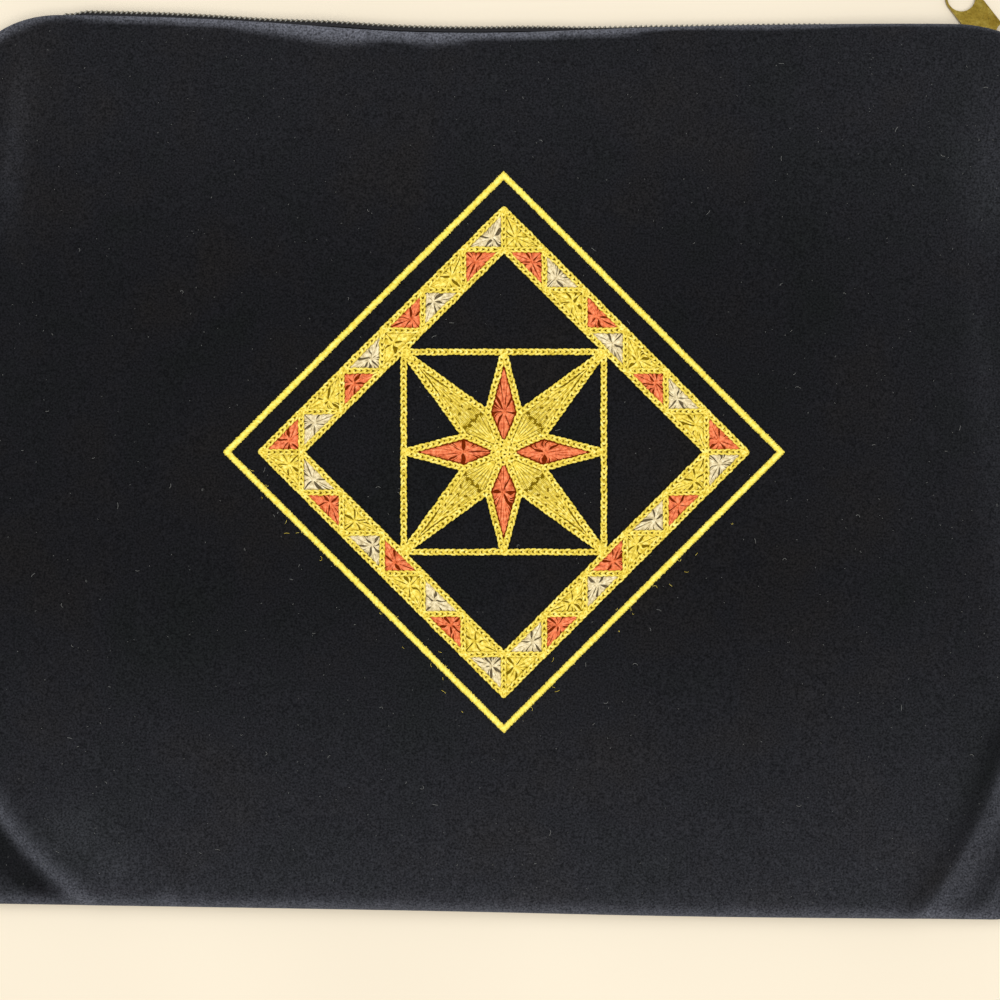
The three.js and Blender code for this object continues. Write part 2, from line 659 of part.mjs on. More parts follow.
// The right-angled fields between the band's chain lines on one quarter, as corner triples.
function bandFields() {
  const fields = [];
  for (let k = 0; k < EMBROIDERY.bandSteps; k++) {
    const [x, y] = [k * STEP, (EMBROIDERY.bandSteps - k) * STEP];
    fields.push([[x, y], [x, y - STEP], [x + STEP, y - STEP]]);
    if (k === EMBROIDERY.bandSteps - 1) continue;
    fields.push([[x, y - STEP], [x + STEP, y - 2 * STEP], [x + STEP, y - STEP]]);
  }
  return fields;
}

// Moves a triangle's sides inwards by a distance.
function shrunk(corners, distance) {
  const [a, b, c] = corners.map(([x, y]) => new THREE.Vector2(x, y));
  const sides = [b.distanceTo(c), c.distanceTo(a), a.distanceTo(b)];
  const sum = sides[0] + sides[1] + sides[2];
  const area = Math.abs((b.x - a.x) * (c.y - a.y) - (c.x - a.x) * (b.y - a.y)) / 2;
  const centre = new THREE.Vector2()
    .addScaledVector(a, sides[0] / sum)
    .addScaledVector(b, sides[1] / sum)
    .addScaledVector(c, sides[2] / sum);
  const share = 1 - distance / ((2 * area) / sum);
  return [a, b, c].map((p) => p.lerp(centre, 1 - share)).map((p) => [p.x, p.y]);
}

function triangleBand() {
  const height = EMBROIDERY.threadHeight + EMBROIDERY.chainRelief;
  let solid = solidOf(diamondLine(bandInner, bandOuter, height, EMBROIDERY.bandSteps));
  for (let quarter = 0; quarter < 4; quarter++) {
    for (const field of bandFields()) {
      const pocket = raised(polygon(shrunk(field, halfChain), 1), height, EMBROIDERY.threadHeight);
      solid = solid.subtract(solidOf(facingOut(indexed(pocket.rotateZ((quarter * Math.PI) / 2)))));
    }
  }
  return draped(geometryOf(solid));
}

const indexed = (geometry) => {
  const position = new THREE.BufferGeometry().setAttribute("position", geometry.getAttribute("position"));
  return mergeVertices(position, 1e-4);
};

// The eight-pointed star's corners: tips and valleys in turn.
function starCorners() {
  const side = EMBROIDERY.squareSteps * STEP;
  const valley = EMBROIDERY.valleySteps * STEP;
  return Array.from({ length: 16 }, (_, k) => {
    const turn = (k * Math.PI) / 8;
    const radius = k % 2 ? valley : k % 4 ? side * Math.SQRT2 : side;
    return [radius * Math.cos(turn), radius * Math.sin(turn)];
  });
}

// The star's straight arm along +X, from its middle to its tip, with its four sides moved inwards.
function petalShape(distance) {
  const [tip, high] = starCorners();
  const slopeIn = Math.atan2(high[1], high[0]);
  const slopeOut = Math.atan2(high[1], tip[0] - high[0]);
  const startX = distance / Math.sin(slopeIn);
  const endX = tip[0] - distance / Math.sin(slopeOut);
  const [riseIn, riseOut] = [Math.tan(slopeIn), Math.tan(slopeOut)];
  const meetX = (startX * riseIn + endX * riseOut) / (riseIn + riseOut);
  const meetY = (meetX - startX) * riseIn;
  return polygon([[startX, 0], [meetX, -meetY], [endX, 0], [meetX, meetY]], 2);
}

function star() {
  const grow = halfChain / Math.SQRT2;
  const corners = starCorners().map(([x, y]) => {
    const radius = Math.hypot(x, y);
    return [(x * (radius + grow)) / radius, (y * (radius + grow)) / radius];
  });
  const height = EMBROIDERY.threadHeight;
  const side = EMBROIDERY.squareSteps * STEP;
  let solid = solidOf(raised(polygon(corners, 2), height));
  const bar = polygon([[side - halfChain, -side], [side + halfChain, -side], [side + halfChain, side],
    [side - halfChain, side]], 6);
  for (let quarter = 0; quarter < 4; quarter++) {
    const turn = (quarter * Math.PI) / 2;
    solid = solid.add(solidOf(raised(bar, height).rotateZ(turn)));
    solid = solid.subtract(solidOf(raised(petalShape(halfChain), 3 * height, -height).rotateZ(turn)));
  }
  const inside = polygon(diamond(bandInner - EMBROIDERY.pieceGap * Math.SQRT2), 8);
  solid = solid.intersect(solidOf(raised(inside, 3 * height, -height)));
  return draped(geometryOf(solid));
}

function petal(quarter) {
  const shape = petalShape(halfChain + EMBROIDERY.pieceGap);
  const height = EMBROIDERY.threadHeight * EMBROIDERY.fillShare;
  return draped(raised(shape, height).rotateZ((quarter * Math.PI) / 2));
}

// Assembly.
const group = new THREE.Group();

function add(name, geometry, look) {
  const mesh = new THREE.Mesh(geometry, new THREE.MeshStandardMaterial(COLOURS[look]));
  mesh.name = name;
  group.add(mesh);
  return mesh;
}

for (const side of ["front", "back"]) {
  const pieces = panelPieces(side === "front");
  for (const [name, geometry] of Object.entries(pieces)) add(`${side}_${name}`, geometry, "velvet");
}
add("zipper_tape_front", tape(1), "tape");
add("zipper_tape_back", tape(-1), "tape");
add("zipper_coil", coil(), "coil");
add("satin_border", satinBorder(), "gold");
add("triangle_band", triangleBand(), "gold");
add("star_and_square", star(), "gold");
["east", "north", "west", "south"].forEach((name, k) => add(`star_petal_${name}`, petal(k), "red"));

const place = sliderPlace();
const sliderMesh = add("zipper_slider", slider(), "brass");
sliderMesh.position.copy(place.at);
sliderMesh.rotation.set(Math.PI, 0, place.turn, "ZYX");

// The pull's eye sits round the bail's leg, and its far end rests on the table.
const pullMesh = add("pull_tab", plate(pullOutline(), PULL.thickness), "brass");
const heading = radians(PULL.heading);
const leg = new THREE.Vector3(SLIDER.bailNose, 0, 0).applyAxisAngle(new THREE.Vector3(0, 0, 1), place.turn);
const barTop = place.at.z - OUTER_FACE - SLIDER.bailDrop + SLIDER.wire;
const eye = place.at.clone().add(leg).setZ(barTop + PULL.barClearance + PULL.thickness / 2);
const pullLength = PULL.neckLength + PULL.ringToShoulder + PULL.width / 2;
const dip = Math.asin((eye.z - PULL.tipHeight - PULL.thickness / 2) / pullLength);
pullMesh.position.copy(eye);
pullMesh.rotation.set(0, dip, heading, "ZYX");

export default group;
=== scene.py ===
"""Looks for a velvet zip bag with an embroidered star: camera, cloth, thread-by-thread embroidery, zip and brass."""

import math

import bpy
import numpy as np
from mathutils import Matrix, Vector
from mathutils.bvhtree import BVHTree


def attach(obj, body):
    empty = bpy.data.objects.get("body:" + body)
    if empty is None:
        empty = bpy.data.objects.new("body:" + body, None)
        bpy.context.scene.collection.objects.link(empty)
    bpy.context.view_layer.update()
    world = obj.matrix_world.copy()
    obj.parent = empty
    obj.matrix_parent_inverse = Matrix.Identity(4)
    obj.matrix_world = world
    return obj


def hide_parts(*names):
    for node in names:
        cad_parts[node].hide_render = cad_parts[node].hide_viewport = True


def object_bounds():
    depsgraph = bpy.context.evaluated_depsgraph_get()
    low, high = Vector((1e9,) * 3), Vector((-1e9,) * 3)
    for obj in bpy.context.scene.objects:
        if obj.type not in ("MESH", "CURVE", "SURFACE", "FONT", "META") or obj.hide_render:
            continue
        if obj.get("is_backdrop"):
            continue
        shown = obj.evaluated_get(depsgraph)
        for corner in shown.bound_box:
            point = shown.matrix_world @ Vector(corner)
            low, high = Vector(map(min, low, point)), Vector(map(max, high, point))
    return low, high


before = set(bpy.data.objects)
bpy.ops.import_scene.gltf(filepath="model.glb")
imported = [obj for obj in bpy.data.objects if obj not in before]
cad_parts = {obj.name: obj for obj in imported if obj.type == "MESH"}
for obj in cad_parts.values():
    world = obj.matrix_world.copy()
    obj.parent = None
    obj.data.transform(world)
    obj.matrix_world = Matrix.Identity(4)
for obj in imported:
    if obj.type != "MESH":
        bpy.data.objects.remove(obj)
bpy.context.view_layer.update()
rng = np.random.default_rng(7)
MM = 0.001

# The camera looks straight down on the embroidery, turned a little against the bag's edges.
PIXEL = 0.343  # mm on the embroidery's plane, in a 1000 x 1000 picture
CAMERA_RISE = 720.0  # mm over that plane
EMBROIDERY_Z = 14.5
BAG_TURN = 0.9  # degrees
CAMERA_X, CAMERA_Y = -0.84, -11.9  # over the middle of the picture
camera_data = bpy.data.cameras.new("camera")
camera_data.sensor_width = 36
camera_data.lens = 36 * CAMERA_RISE / (1000 * PIXEL)
camera_data.clip_start = 0.05
camera = bpy.data.objects.new("camera", camera_data)
camera.location = Vector((CAMERA_X, CAMERA_Y, EMBROIDERY_Z + CAMERA_RISE)) * MM
camera.rotation_euler = (0, 0, math.radians(BAG_TURN))
bpy.context.scene.collection.objects.link(camera)
bpy.context.scene.camera = camera

# The bag's sizes in millimetres, as the part has them.
WIDTH, HEIGHT, SEAM_GAP, EDGE_HEIGHT, PUFF = 370.0, 310.0, 0.3, 9.0, 4.6
SIDE_ROLL, BOTTOM_ROLL = 6.0, 5.5
TOP_LEFT, TOP_RIGHT, BOTTOM_LEFT, BOTTOM_RIGHT = (30, 20), (32, 17), (9, 8), (12, 9)
ZIP_TOP_RIGHT = (20, 18)  # the zip keeps the part's own corner, and takes TOP_RIGHT's place further down
SAG_AT, SAG_DEPTH, SAG_LEFT, SAG_RIGHT = -25.16, 4.4, 60.0, 78.0
LEFT_UNDER, RIGHT_UNDER, RIGHT_RISE, LEFT_DEPTH, RIGHT_DEPTH = 0.8, 6.0, 3.4, 3.2, 7.2
LIFT_FROM, LIFT_TO, FADE_FROM, FADE_TO = 0.2 * WIDTH, 0.43 * WIDTH, 0.242 * HEIGHT, 0.045 * HEIGHT
SLIT, SLIDER_SLIT, END_GAP, END_REACH = 3.3, 6.2, 0.2, 5.0
SLIDER_X, SLIDER_REACH, SLIDER_CLOSE = 171.125, 7.0, 1.8
COIL_WIDTH, COIL_THICK, COIL_FROM, COIL_TO = 5.6, 2.2, -155.4, 171.0
ROLL_TABLE = np.array([[-0.5, 0], [0, 4], [0.16, 24], [0.27, 52], [0.38, 82], [0.43, 108], [0.5, 108]])
COIL_SHOWING = np.array(
    [[-0.5, -0.3], [-0.415, -0.1], [-0.395, 0.42], [-0.33, 0.45], [-0.24, 0.34], [-0.15, 0.8], [0, 0.8], [0.1, 0.28],
     [0.2, 0.14], [0.5, 0.18]]
)
HEM = 0.75  # radius of the folded hem's edge
HEM_INSIDE = (2.5, 6.0)  # rows of the cloth inside the hem, by their distance from it
SEAM_TUCK = 1.6  # how far the cloth at a seam is tucked in
FRONT_STEP, BACK_STEP = 1.5, 3.0  # spacing of the cloth's points
ROLL_STEPS, MOUTH_STEPS, HEM_STEPS = 8, 22, 7

# Steps in the cloth, where one side of a line lies lower: ends in mm, drop, reach and how much the line bows.
FOLDS = [
    (-139, -160, -179, -104, -1.9, 8, 3),
    (140.6, -161.2, 175.8, -96.1, 1.7, 5, -4),
    (161, -161.2, 181.3, -124, 0.9, 5, -2),
    (162.8, -6.2, 151.7, 145.7, 1.6, 18, 4),
    (-168.4, 43.4, -159.1, 155, -1.4, 11, 3),
]
FOLD_FADE = 40.7  # they fade in over this distance before their start
# Soft ridges: ends in mm, height and half width.
RIDGES = [
    (118, -150, 172, -90, 0.9, 4.5),
    (160, -149, 173, -116, 0.7, 3.5),
    (-172, -116, -141, -152, 0.8, 4.5),
    (-146, -118, -160, -92, 0.35, 6),
    (-132, -131, -146, -114, 0.3, 5),
    (174, 120, 176, 60, 0.7, 5),
    (-181, 128, -150, 150, 0.8, 5),
]


def smooth(low, high, value):
    t = np.clip((value - low) / (high - low), 0, 1)
    return t * t * (3 - 2 * t)


def read_table(table, share):
    """Reads a table of share and value, smoothly between its rows."""
    i = np.clip(np.searchsorted(table[:, 0], share, side="right"), 1, len(table) - 1)
    low, high = table[i - 1], table[i]
    return low[:, 1] + (high[:, 1] - low[:, 1]) * smooth(low[:, 0], high[:, 0], share)


def corner_drop(x, left, right):
    across = np.where(x < 0, left[0], right[0])
    down = np.where(x < 0, left[1], right[1])
    into = np.maximum(0, (np.abs(x) - (WIDTH / 2 - across)) / across)
    return down * (1 - np.sqrt(np.maximum(0, 1 - into**2)))


def top_edge(x):
    away = x - SAG_AT
    reach = np.where(away < 0, SAG_LEFT, SAG_RIGHT)
    return HEIGHT / 2 - SAG_DEPTH * np.exp(-((away / reach) ** 2)) - corner_drop(x, TOP_LEFT, TOP_RIGHT)


def bottom_edge(x):
    hang = 0.6 * np.exp(-(((x - 70) / 70) ** 2))
    return -HEIGHT / 2 + corner_drop(x, BOTTOM_LEFT, BOTTOM_RIGHT) - hang


def mouth_lift(x, y):
    top = HEIGHT / 2
    return smooth(top - FADE_FROM, top - FADE_TO, y + corner_drop(x, TOP_LEFT, TOP_RIGHT))


def slider_lift(x):
    return smooth(LIFT_FROM, LIFT_TO, x)


def back_z(x, y):
    return (LEFT_UNDER + (RIGHT_UNDER - LEFT_UNDER) * slider_lift(x)) * mouth_lift(x, y)


def line_places(x, y, x0, y0, x1, y1):
    """How far each point is past a line, to its right, and how far along it, from 0 to 1."""
    length = math.hypot(x1 - x0, y1 - y0)
    ux, uy = (x1 - x0) / length, (y1 - y0) / length
    return (x - x0) * uy - (y - y0) * ux, ((x - x0) * ux + (y - y0) * uy) / length


def fold_drop(x, y):
    total = 0
    for x0, y0, x1, y1, drop, reach, bow in FOLDS:
        side, along = line_places(x, y, x0, y0, x1, y1)
        side = side + bow * np.sin(math.pi * np.clip(along, 0, 1))
        past = side if drop > 0 else -side
        fade = smooth(-FOLD_FADE, 0, along * math.hypot(x1 - x0, y1 - y0))
        total = total + abs(drop) * fade * smooth(-reach / 2, reach / 2, past)
    return total


WAVES = [
    (rng.uniform(38, 150), rng.uniform(0, math.pi), rng.uniform(0, 2 * math.pi), rng.uniform(0.04, 0.12))
    for _ in range(16)
]


def cloth_waves(x, y):
    """Soft rises and dips of the lying cloth, ridges at the corners and puckers along the seams."""
    total = 0
    for length, heading, phase, high in WAVES:
        place = (x * math.cos(heading) + y * math.sin(heading)) * 2 * math.pi / length
        total = total + high * np.sin(place + phase)
    for x0, y0, x1, y1, high, half in RIDGES:
        side, along = line_places(x, y, x0, y0, x1, y1)
        ends = smooth(-0.25, 0.2, along) * smooth(1.25, 0.8, along)
        total = total + high * np.exp(-((side / half) ** 2)) * ends
    from_low, from_top = y - bottom_edge(x), top_edge(x) - y
    from_side = WIDTH / 2 - np.abs(x)
    pucker = np.sin(x / 1.9 + 1.3 * np.sin(x / 23)) + 0.6 * np.sin(x / 3.1 + 2)
    total = total + 0.1 * pucker * np.exp(-((from_low / 10) ** 2))
    total = total + 0.07 * pucker * np.exp(-((from_top / 9) ** 2))
    pucker = np.sin(y / 2.1 + 1.7 * np.sin(y / 19)) + 0.6 * np.sin(y / 3.4 + 1)
    return total + 0.1 * pucker * np.exp(-((from_side / 9) ** 2))


# The painted sheen band along the top edge's roll: place, width and strength.
TOP_SHEEN_BAND = np.array([
    (-185, 5.0, 0.7), (-166, 4.2, 0.6), (-152, 3.1, 0.65), (-138, 3.0, 0.9), (-120, 3.2, 1), (-110, 4.4, 1),
    (-98, 4.3, 1), (-90, 5.0, 1), (-76, 5.2, 1), (-55, 6.0, 1), (-30, 5.0, 1), (-14, 4.0, 1), (7, 3.1, 0.95),
    (27, 3.7, 1), (48, 2.1, 0.8), (70, 2.4, 0.65), (90, 2.2, 0.6), (120, 1.5, 0.6), (140, 1.5, 0.5), (155, 1.2, 0.3),
    (185, 1.8, 0.15),
])
# Soft patches of painted sheen: place, radius and strength.
SHEEN_PATCHES = [(-145, -127.5, 9, 0.05), (-131.6, -140.5, 8, 0.055), (-113.3, -151.5, 3, 0.12)]
# Painted sheen (positive strength) and painted shade (negative strength) beside a fold: fold, strength, middle past
# the line, how much that leans along the fold, reach to each side, from, to.
FOLD_SHEEN_AND_SHADE = [
    (0, 0.24, -0.6, -9, 2.0, 4.4, -0.1, 1.35),
    (0, -0.12, -8.0, -9, 6.0, 4.0, -0.1, 1.2),
    (1, 0.14, 1.0, 0, 1.0, 8.0, -0.2, 1.25),
    (1, -0.06, -3.5, 0, 6.0, 2.6, -0.1, 1.3),
    (2, 0.08, 1.2, 0, 1.2, 5.0, -0.2, 1.2),
    (2, -0.05, -3.0, 0, 3.0, 2.4, -0.1, 1.2),
    (3, 0.06, 16.0, 0, 12.0, 8.0, 0.45, 1.0),
    (3, 0.025, 8.0, 0, 5.0, 8.0, -0.6, 0.6),
    (4, 0.05, -5.0, 0, 4.0, 4.5, 0.2, 0.95),
]


def nap(x, y):
    """Painted sheen on the velvet, from 0 to 1: lighter along the edges and the folds, with painted shade beside some
    folds.
    """
    from_low, from_top = y - bottom_edge(x), top_edge(x) - y
    wide, strong = (np.interp(x, TOP_SHEEN_BAND[:, 0], TOP_SHEEN_BAND[:, k]) for k in (1, 2))
    wide = wide * (1 + 0.14 * np.sin(x / 7 + 2 * np.sin(x / 31)))
    light = 0.76 * strong * smooth(wide * 1.35, wide * 0.7, from_top) * (1 - 0.42 * np.clip(from_top / wide, 0, 1))
    # Painted sheen along the bottom roll, and a painted lightening towards the bottom, top, right and sides.
    light = light + 0.3 * np.exp(-((from_low / 3.4) ** 2)) + 0.07 * np.exp(-np.maximum(0, from_low) / 11)
    light = light + 0.06 * smooth(-30, -140, y) + 0.03 * smooth(50, 140, y) + 0.02 * smooth(70, 175, x)
    light = light + 0.08 * np.exp(-(((WIDTH / 2 - np.abs(x)) / 3.5) ** 2))
    for px, py, radius, strength in SHEEN_PATCHES:
        light = light + strength * np.exp(-((x - px) ** 2 + (y - py) ** 2) / radius**2)
    for fold, strength, middle, lean, before, after, start, end in FOLD_SHEEN_AND_SHADE:
        x0, y0, x1, y1, _, _, bow = FOLDS[fold]
        side, along = line_places(x, y, x0, y0, x1, y1)
        side = side + bow * np.sin(math.pi * np.clip(along, 0, 1)) - middle - lean * (along - 0.4)
        reach = np.where(side < 0, before, after)
        ends = smooth(start, start + 0.3, along) * smooth(end, end - 0.3, along)
        light = light + strength * np.exp(-((side / reach) ** 2)) * ends
    return np.clip(light, 0, 1)


def front_z(x, y):
    crown = (1 - np.abs(2 * x / WIDTH) ** 4) * (1 - np.abs(2 * y / HEIGHT) ** 4)
    lift = mouth_lift(x, y)
    rise = RIGHT_RISE * slider_lift(x) * lift
    return EDGE_HEIGHT + PUFF * np.maximum(0, crown) + rise - fold_drop(x, y) * (1 - lift)


def seam_z(x, y):
    return (EDGE_HEIGHT + RIGHT_RISE * slider_lift(x) * mouth_lift(x, y) + back_z(x, y)) / 2


def round_up(t):
    return np.sqrt(np.maximum(0, 1 - (1 - np.clip(t, 0, 1)) ** 2))


def side_round(x):
    return round_up((WIDTH / 2 - np.abs(x)) / SIDE_ROLL)


def rolled_edge(x, inset):
    depth = LEFT_DEPTH + (RIGHT_DEPTH - LEFT_DEPTH) * slider_lift(x)
    centre_y = top_edge(x) - depth
    top, under = front_z(x, centre_y), back_z(x, centre_y)
    high = (top - under) / 2
    quarter = (math.pi / 2) * np.sqrt((depth**2 + high**2) / 2)
    return centre_y, (top + under) / 2, depth - inset, (high - inset) * side_round(x), quarter


def rolled_point(x, along, inset):
    """A point of the mouth's rolled skin, as y and z; along counts from the outermost line, positive over the top."""
    centre_y, centre_z, reach_y, reach_z, quarter = rolled_edge(x, inset)
    turn = np.clip(along / quarter, -1, 1) * math.pi / 2
    past = np.maximum(0, np.abs(along) - quarter)
    y = centre_y + reach_y * np.cos(turn) - past
    z = centre_z + reach_z * np.sin(turn)
    under = (back_z(x, y) - back_z(x, centre_y)) * side_round(x)
    return y, z + np.where((past > 0) & (along < 0), under, 0)


def zip_along(x):
    ends = smooth(0, END_REACH, WIDTH / 2 - np.abs(x))
    return -rolled_edge(x, 0)[4] * read_table(ROLL_TABLE, x / WIDTH) * ends / 90


def slit(x):
    beside = smooth(SLIDER_REACH + SLIDER_CLOSE, SLIDER_REACH, np.abs(x - SLIDER_X))
    wide = SLIT + (SLIDER_SLIT - SLIT) * beside
    return END_GAP + (wide - END_GAP) * smooth(0.3 * END_REACH, END_REACH, WIDTH / 2 - np.abs(x))


def mesh_object(name, points, faces):
    """A smooth-shaded mesh from points in millimetres."""
    mesh = bpy.data.meshes.new(name)
    mesh.from_pydata((np.asarray(points, float) * MM).tolist(), [], faces)
    mesh.polygons.foreach_set("use_smooth", [True] * len(mesh.polygons))
    mesh.update()
    made = bpy.data.objects.new(name, mesh)
    bpy.context.scene.collection.objects.link(made)
    return made


def grid_faces(columns, rows, flip=False):
    """Faces of a grid whose point i, j is number i * rows + j."""
    i, j = np.meshgrid(np.arange(columns - 1), np.arange(rows - 1), indexing="ij")
    a, b = i * rows + j, (i + 1) * rows + j
    c, d = b + 1, a + 1
    order = (a, d, c, b) if flip else (a, b, c, d)
    return np.stack(order, -1).reshape(-1, 4).tolist()


def panel(name, front, step):
    """One side of the bag: seam allowance, rolled edges, face, rolled mouth and the hem folded in."""
    half = WIDTH / 2
    edge = half - SIDE_ROLL * (1 - np.cos(np.linspace(0, math.pi / 2, ROLL_STEPS)))
    inner = np.linspace(half - SIDE_ROLL, -half + SIDE_ROLL, int((WIDTH - 2 * SIDE_ROLL) / step))
    x = np.concatenate([edge[:-1], inner, -edge[:-1][::-1]])
    rim = SEAM_GAP / 2 if front else -SEAM_GAP / 2
    rounding = side_round(x)
    low = bottom_edge(x)
    centre_y, _, _, _, quarter = rolled_edge(x, 0)

    def face(y, share):
        seam = seam_z(x, y) + rim
        top = front_z(x, y) + cloth_waves(x, y) if front else back_z(x, y)
        return y, seam + (top - seam) * share * rounding

    rows = [(low + SEAM_TUCK, seam_z(x, low))]
    for t in 1 - np.cos(np.linspace(0, math.pi / 2, ROLL_STEPS)):
        rows.append(face(low + t * BOTTOM_ROLL, round_up(t)))
    count = int((HEIGHT - 14) / step)  # the rolled edges take about 14 mm
    for t in np.linspace(0, 1, count)[1:]:
        start = low + BOTTOM_ROLL
        rows.append(face(start + (centre_y - start) * t, 1))
    zip_at, open_by = zip_along(x), slit(x)
    hem = zip_at + (open_by if front else -open_by)
    first = quarter if front else -quarter
    side = 1 if front else -1
    last_wave = cloth_waves(x, centre_y) * rounding if front else 0
    for t in np.linspace(0, 1, MOUTH_STEPS)[1:]:
        along = first + (hem + side * HEM - first) * t
        y, z = rolled_point(x, along, 0)
        rows.append((y, z + rim * (1 - rounding) + last_wave * (1 - t) ** 2))
    for turn in np.linspace(0, math.pi, HEM_STEPS)[1:]:
        along = hem + side * HEM * (1 - math.sin(turn))
        y, z = rolled_point(x, along, HEM * (1 - math.cos(turn)))
        rows.append((y, z + rim * (1 - rounding)))
    for back_by in HEM_INSIDE:
        y, z = rolled_point(x, hem + side * back_by, 2 * HEM)
        rows.append((y, z + rim * (1 - rounding)))
    y = np.stack([row[0] for row in rows], 1)
    z = np.stack([row[1] for row in rows], 1)
    x = np.repeat(x[:, None], y.shape[1], 1)
    tuck = [(x[k] * (1 - SEAM_TUCK / half), y[k], seam_z(x[k], y[k])) for k in (0, -1)]
    x = np.concatenate([tuck[0][0][None], x, tuck[1][0][None]])
    y = np.concatenate([tuck[0][1][None], y, tuck[1][1][None]])
    z = np.concatenate([tuck[0][2][None], z, tuck[1][2][None]])
    points = np.stack([x, y, z], -1).reshape(-1, 3)
    made = mesh_object(name, points, grid_faces(*y.shape, flip=front))
    # Each point carries its painted sheen level, which the velvet material turns into a lighter colour.
    made.data.attributes.new("nap", "FLOAT", "POINT").data.foreach_set("value", nap(x, y).ravel())
    return made


# Materials. A colour Mix node has these sockets, by number.
MIX_FACTOR, MIX_A, MIX_B, MIX_RESULT = 0, 6, 7, 2
# The colour of the painted sheen on the velvet.
PAINTED_SHEEN_COLOUR = (0.118, 0.124, 0.150, 1)


def material(name, colour=(0.5, 0.5, 0.5), roughness=0.6, **sockets):
    made = bpy.data.materials.new(name)
    made.use_nodes = True
    shader = made.node_tree.nodes["Principled BSDF"]
    shader.inputs["Base Color"].default_value = (*colour, 1)
    shader.inputs["Roughness"].default_value = roughness
    for key, value in sockets.items():
        label = key.replace("_", " ").title().replace("Ior", "IOR")
        shader.inputs[label].default_value = value
    return made


def node(made, kind, settings=None, **inputs):
    """Adds a node; a tuple of node and output name links, and other values are set."""
    tree = made.node_tree
    new = tree.nodes.new(kind)
    for key, value in (settings or {}).items():
        setattr(new, key, value)
    for key, value in inputs.items():
        label = int(key[1:]) if key[0] == "i" and key[1:].isdigit() else key.replace("_", " ")
        if isinstance(value, tuple) and isinstance(value[0], bpy.types.Node):
            tree.links.new(value[0].outputs[value[1]], new.inputs[label])
        else:
            new.inputs[label].default_value = value
    return new


def shader_of(made):
    return made.node_tree.nodes["Principled BSDF"]


def link(made, source, output, target, socket):
    made.node_tree.links.new(source.outputs[output], target.inputs[socket])


def place_in(made, scale=(1, 1, 1)):
    coordinates = node(made, "ShaderNodeTexCoord")
    return node(made, "ShaderNodeMapping", Vector=(coordinates, "Object"), Scale=scale)


def noise(made, place, scale, detail=2.0, roughness=0.5):
    return node(made, "ShaderNodeTexNoise", Vector=(place, "Vector"), Scale=scale, Detail=detail, Roughness=roughness)


def ramp(made, source, stops, output="Fac"):
    """A colour ramp over a value: stops are place and colour."""
    new = node(made, "ShaderNodeValToRGB", Fac=(source, output))
    elements = new.color_ramp.elements
    while len(elements) < len(stops):
        elements.new(0.5)
    for element, (place, colour) in zip(elements, stops):
        element.position = place
        element.color = (*colour, 1)
    return new


def bump(made, source, strength, distance, over=None):
    inputs = {"Height": (source, "Fac"), "Strength": strength, "Distance": distance}
    if over is not None:
        inputs["Normal"] = (over, "Normal")
    return node(made, "ShaderNodeBump", **inputs)


def velvet_material():
    made = material(
        "velvet", roughness=0.95, sheen_weight=0.1, sheen_roughness=0.5, sheen_tint=(0.6, 0.68, 0.9, 1),
        specular_ior_level=0.05,
    )
    place = place_in(made)
    patches = ramp(
        made, noise(made, place, 26, 3, 0.6),
        [(0.3, (0.0045, 0.0052, 0.0053)), (0.5, (0.0056, 0.0057, 0.0069)), (0.7, (0.0067, 0.0062, 0.0063))],
    )
    brushed = noise(made, place_in(made, (1, 0.55, 1)), 300, 4, 0.65)
    # The per-point painted sheen level mixes the painted sheen colour into the velvet's base colour.
    painted_sheen_level = node(made, "ShaderNodeAttribute", {"attribute_name": "nap"})
    uneven = node(made, "ShaderNodeMapRange", Value=(brushed, "Fac"), To_Min=0.45, To_Max=1.55)
    light = node(made, "ShaderNodeMath", {"operation": "MULTIPLY"}, i0=(painted_sheen_level, "Fac"), i1=(uneven, 0))
    tone = node(made, "ShaderNodeMix", {"data_type": "RGBA"})
    link(made, light, 0, tone, MIX_FACTOR)
    link(made, patches, "Color", tone, MIX_A)
    tone.inputs[MIX_B].default_value = PAINTED_SHEEN_COLOUR
    grain = noise(made, place, 1500, 2, 0.6)
    speckle = ramp(made, grain, [(0.33, (0.42, 0.42, 0.42)), (0.7, (1.85, 1.85, 1.85))])
    mix = node(made, "ShaderNodeMix", {"data_type": "RGBA", "blend_type": "MULTIPLY"}, Factor=1.0)
    link(made, tone, MIX_RESULT, mix, MIX_A)
    link(made, speckle, "Color", mix, MIX_B)
    link(made, mix, MIX_RESULT, shader_of(made), "Base Color")
    pile = noise(made, place_in(made, (1, 0.45, 1)), 2600, 3, 0.7)
    low = bump(made, brushed, 0.2, 0.0005)
    high = bump(made, pile, 0.5, 0.0004, over=low)
    link(made, high, "Normal", shader_of(made), "Normal")
    return made


def thread_material(name, dark, mid, light, roughness=0.42):
    made = material(name, roughness=roughness, specular_ior_level=0.25)
    place = place_in(made)
    tone = ramp(made, noise(made, place, 900, 2), [(0.25, dark), (0.5, mid), (0.8, light)])
    link(made, tone, "Color", shader_of(made), "Base Color")
    twist = noise(made, place, 5200, 1)
    link(made, bump(made, twist, 0.25, 0.0001), "Normal", shader_of(made), "Normal")
    return made


# Underlay under the threads, coloured darker than the thread: painted shade for the gaps between threads.
def shaded_underlay_material(name, dark, light):
    made = material(name, roughness=0.9, specular_ior_level=0.03)
    place = place_in(made)
    tone = ramp(made, noise(made, place, 2400, 3), [(0.3, dark), (0.7, light)])
    link(made, tone, "Color", shader_of(made), "Base Color")
    link(made, bump(made, noise(made, place, 3600, 2), 0.6, 0.0002), "Normal", shader_of(made), "Normal")
    return made


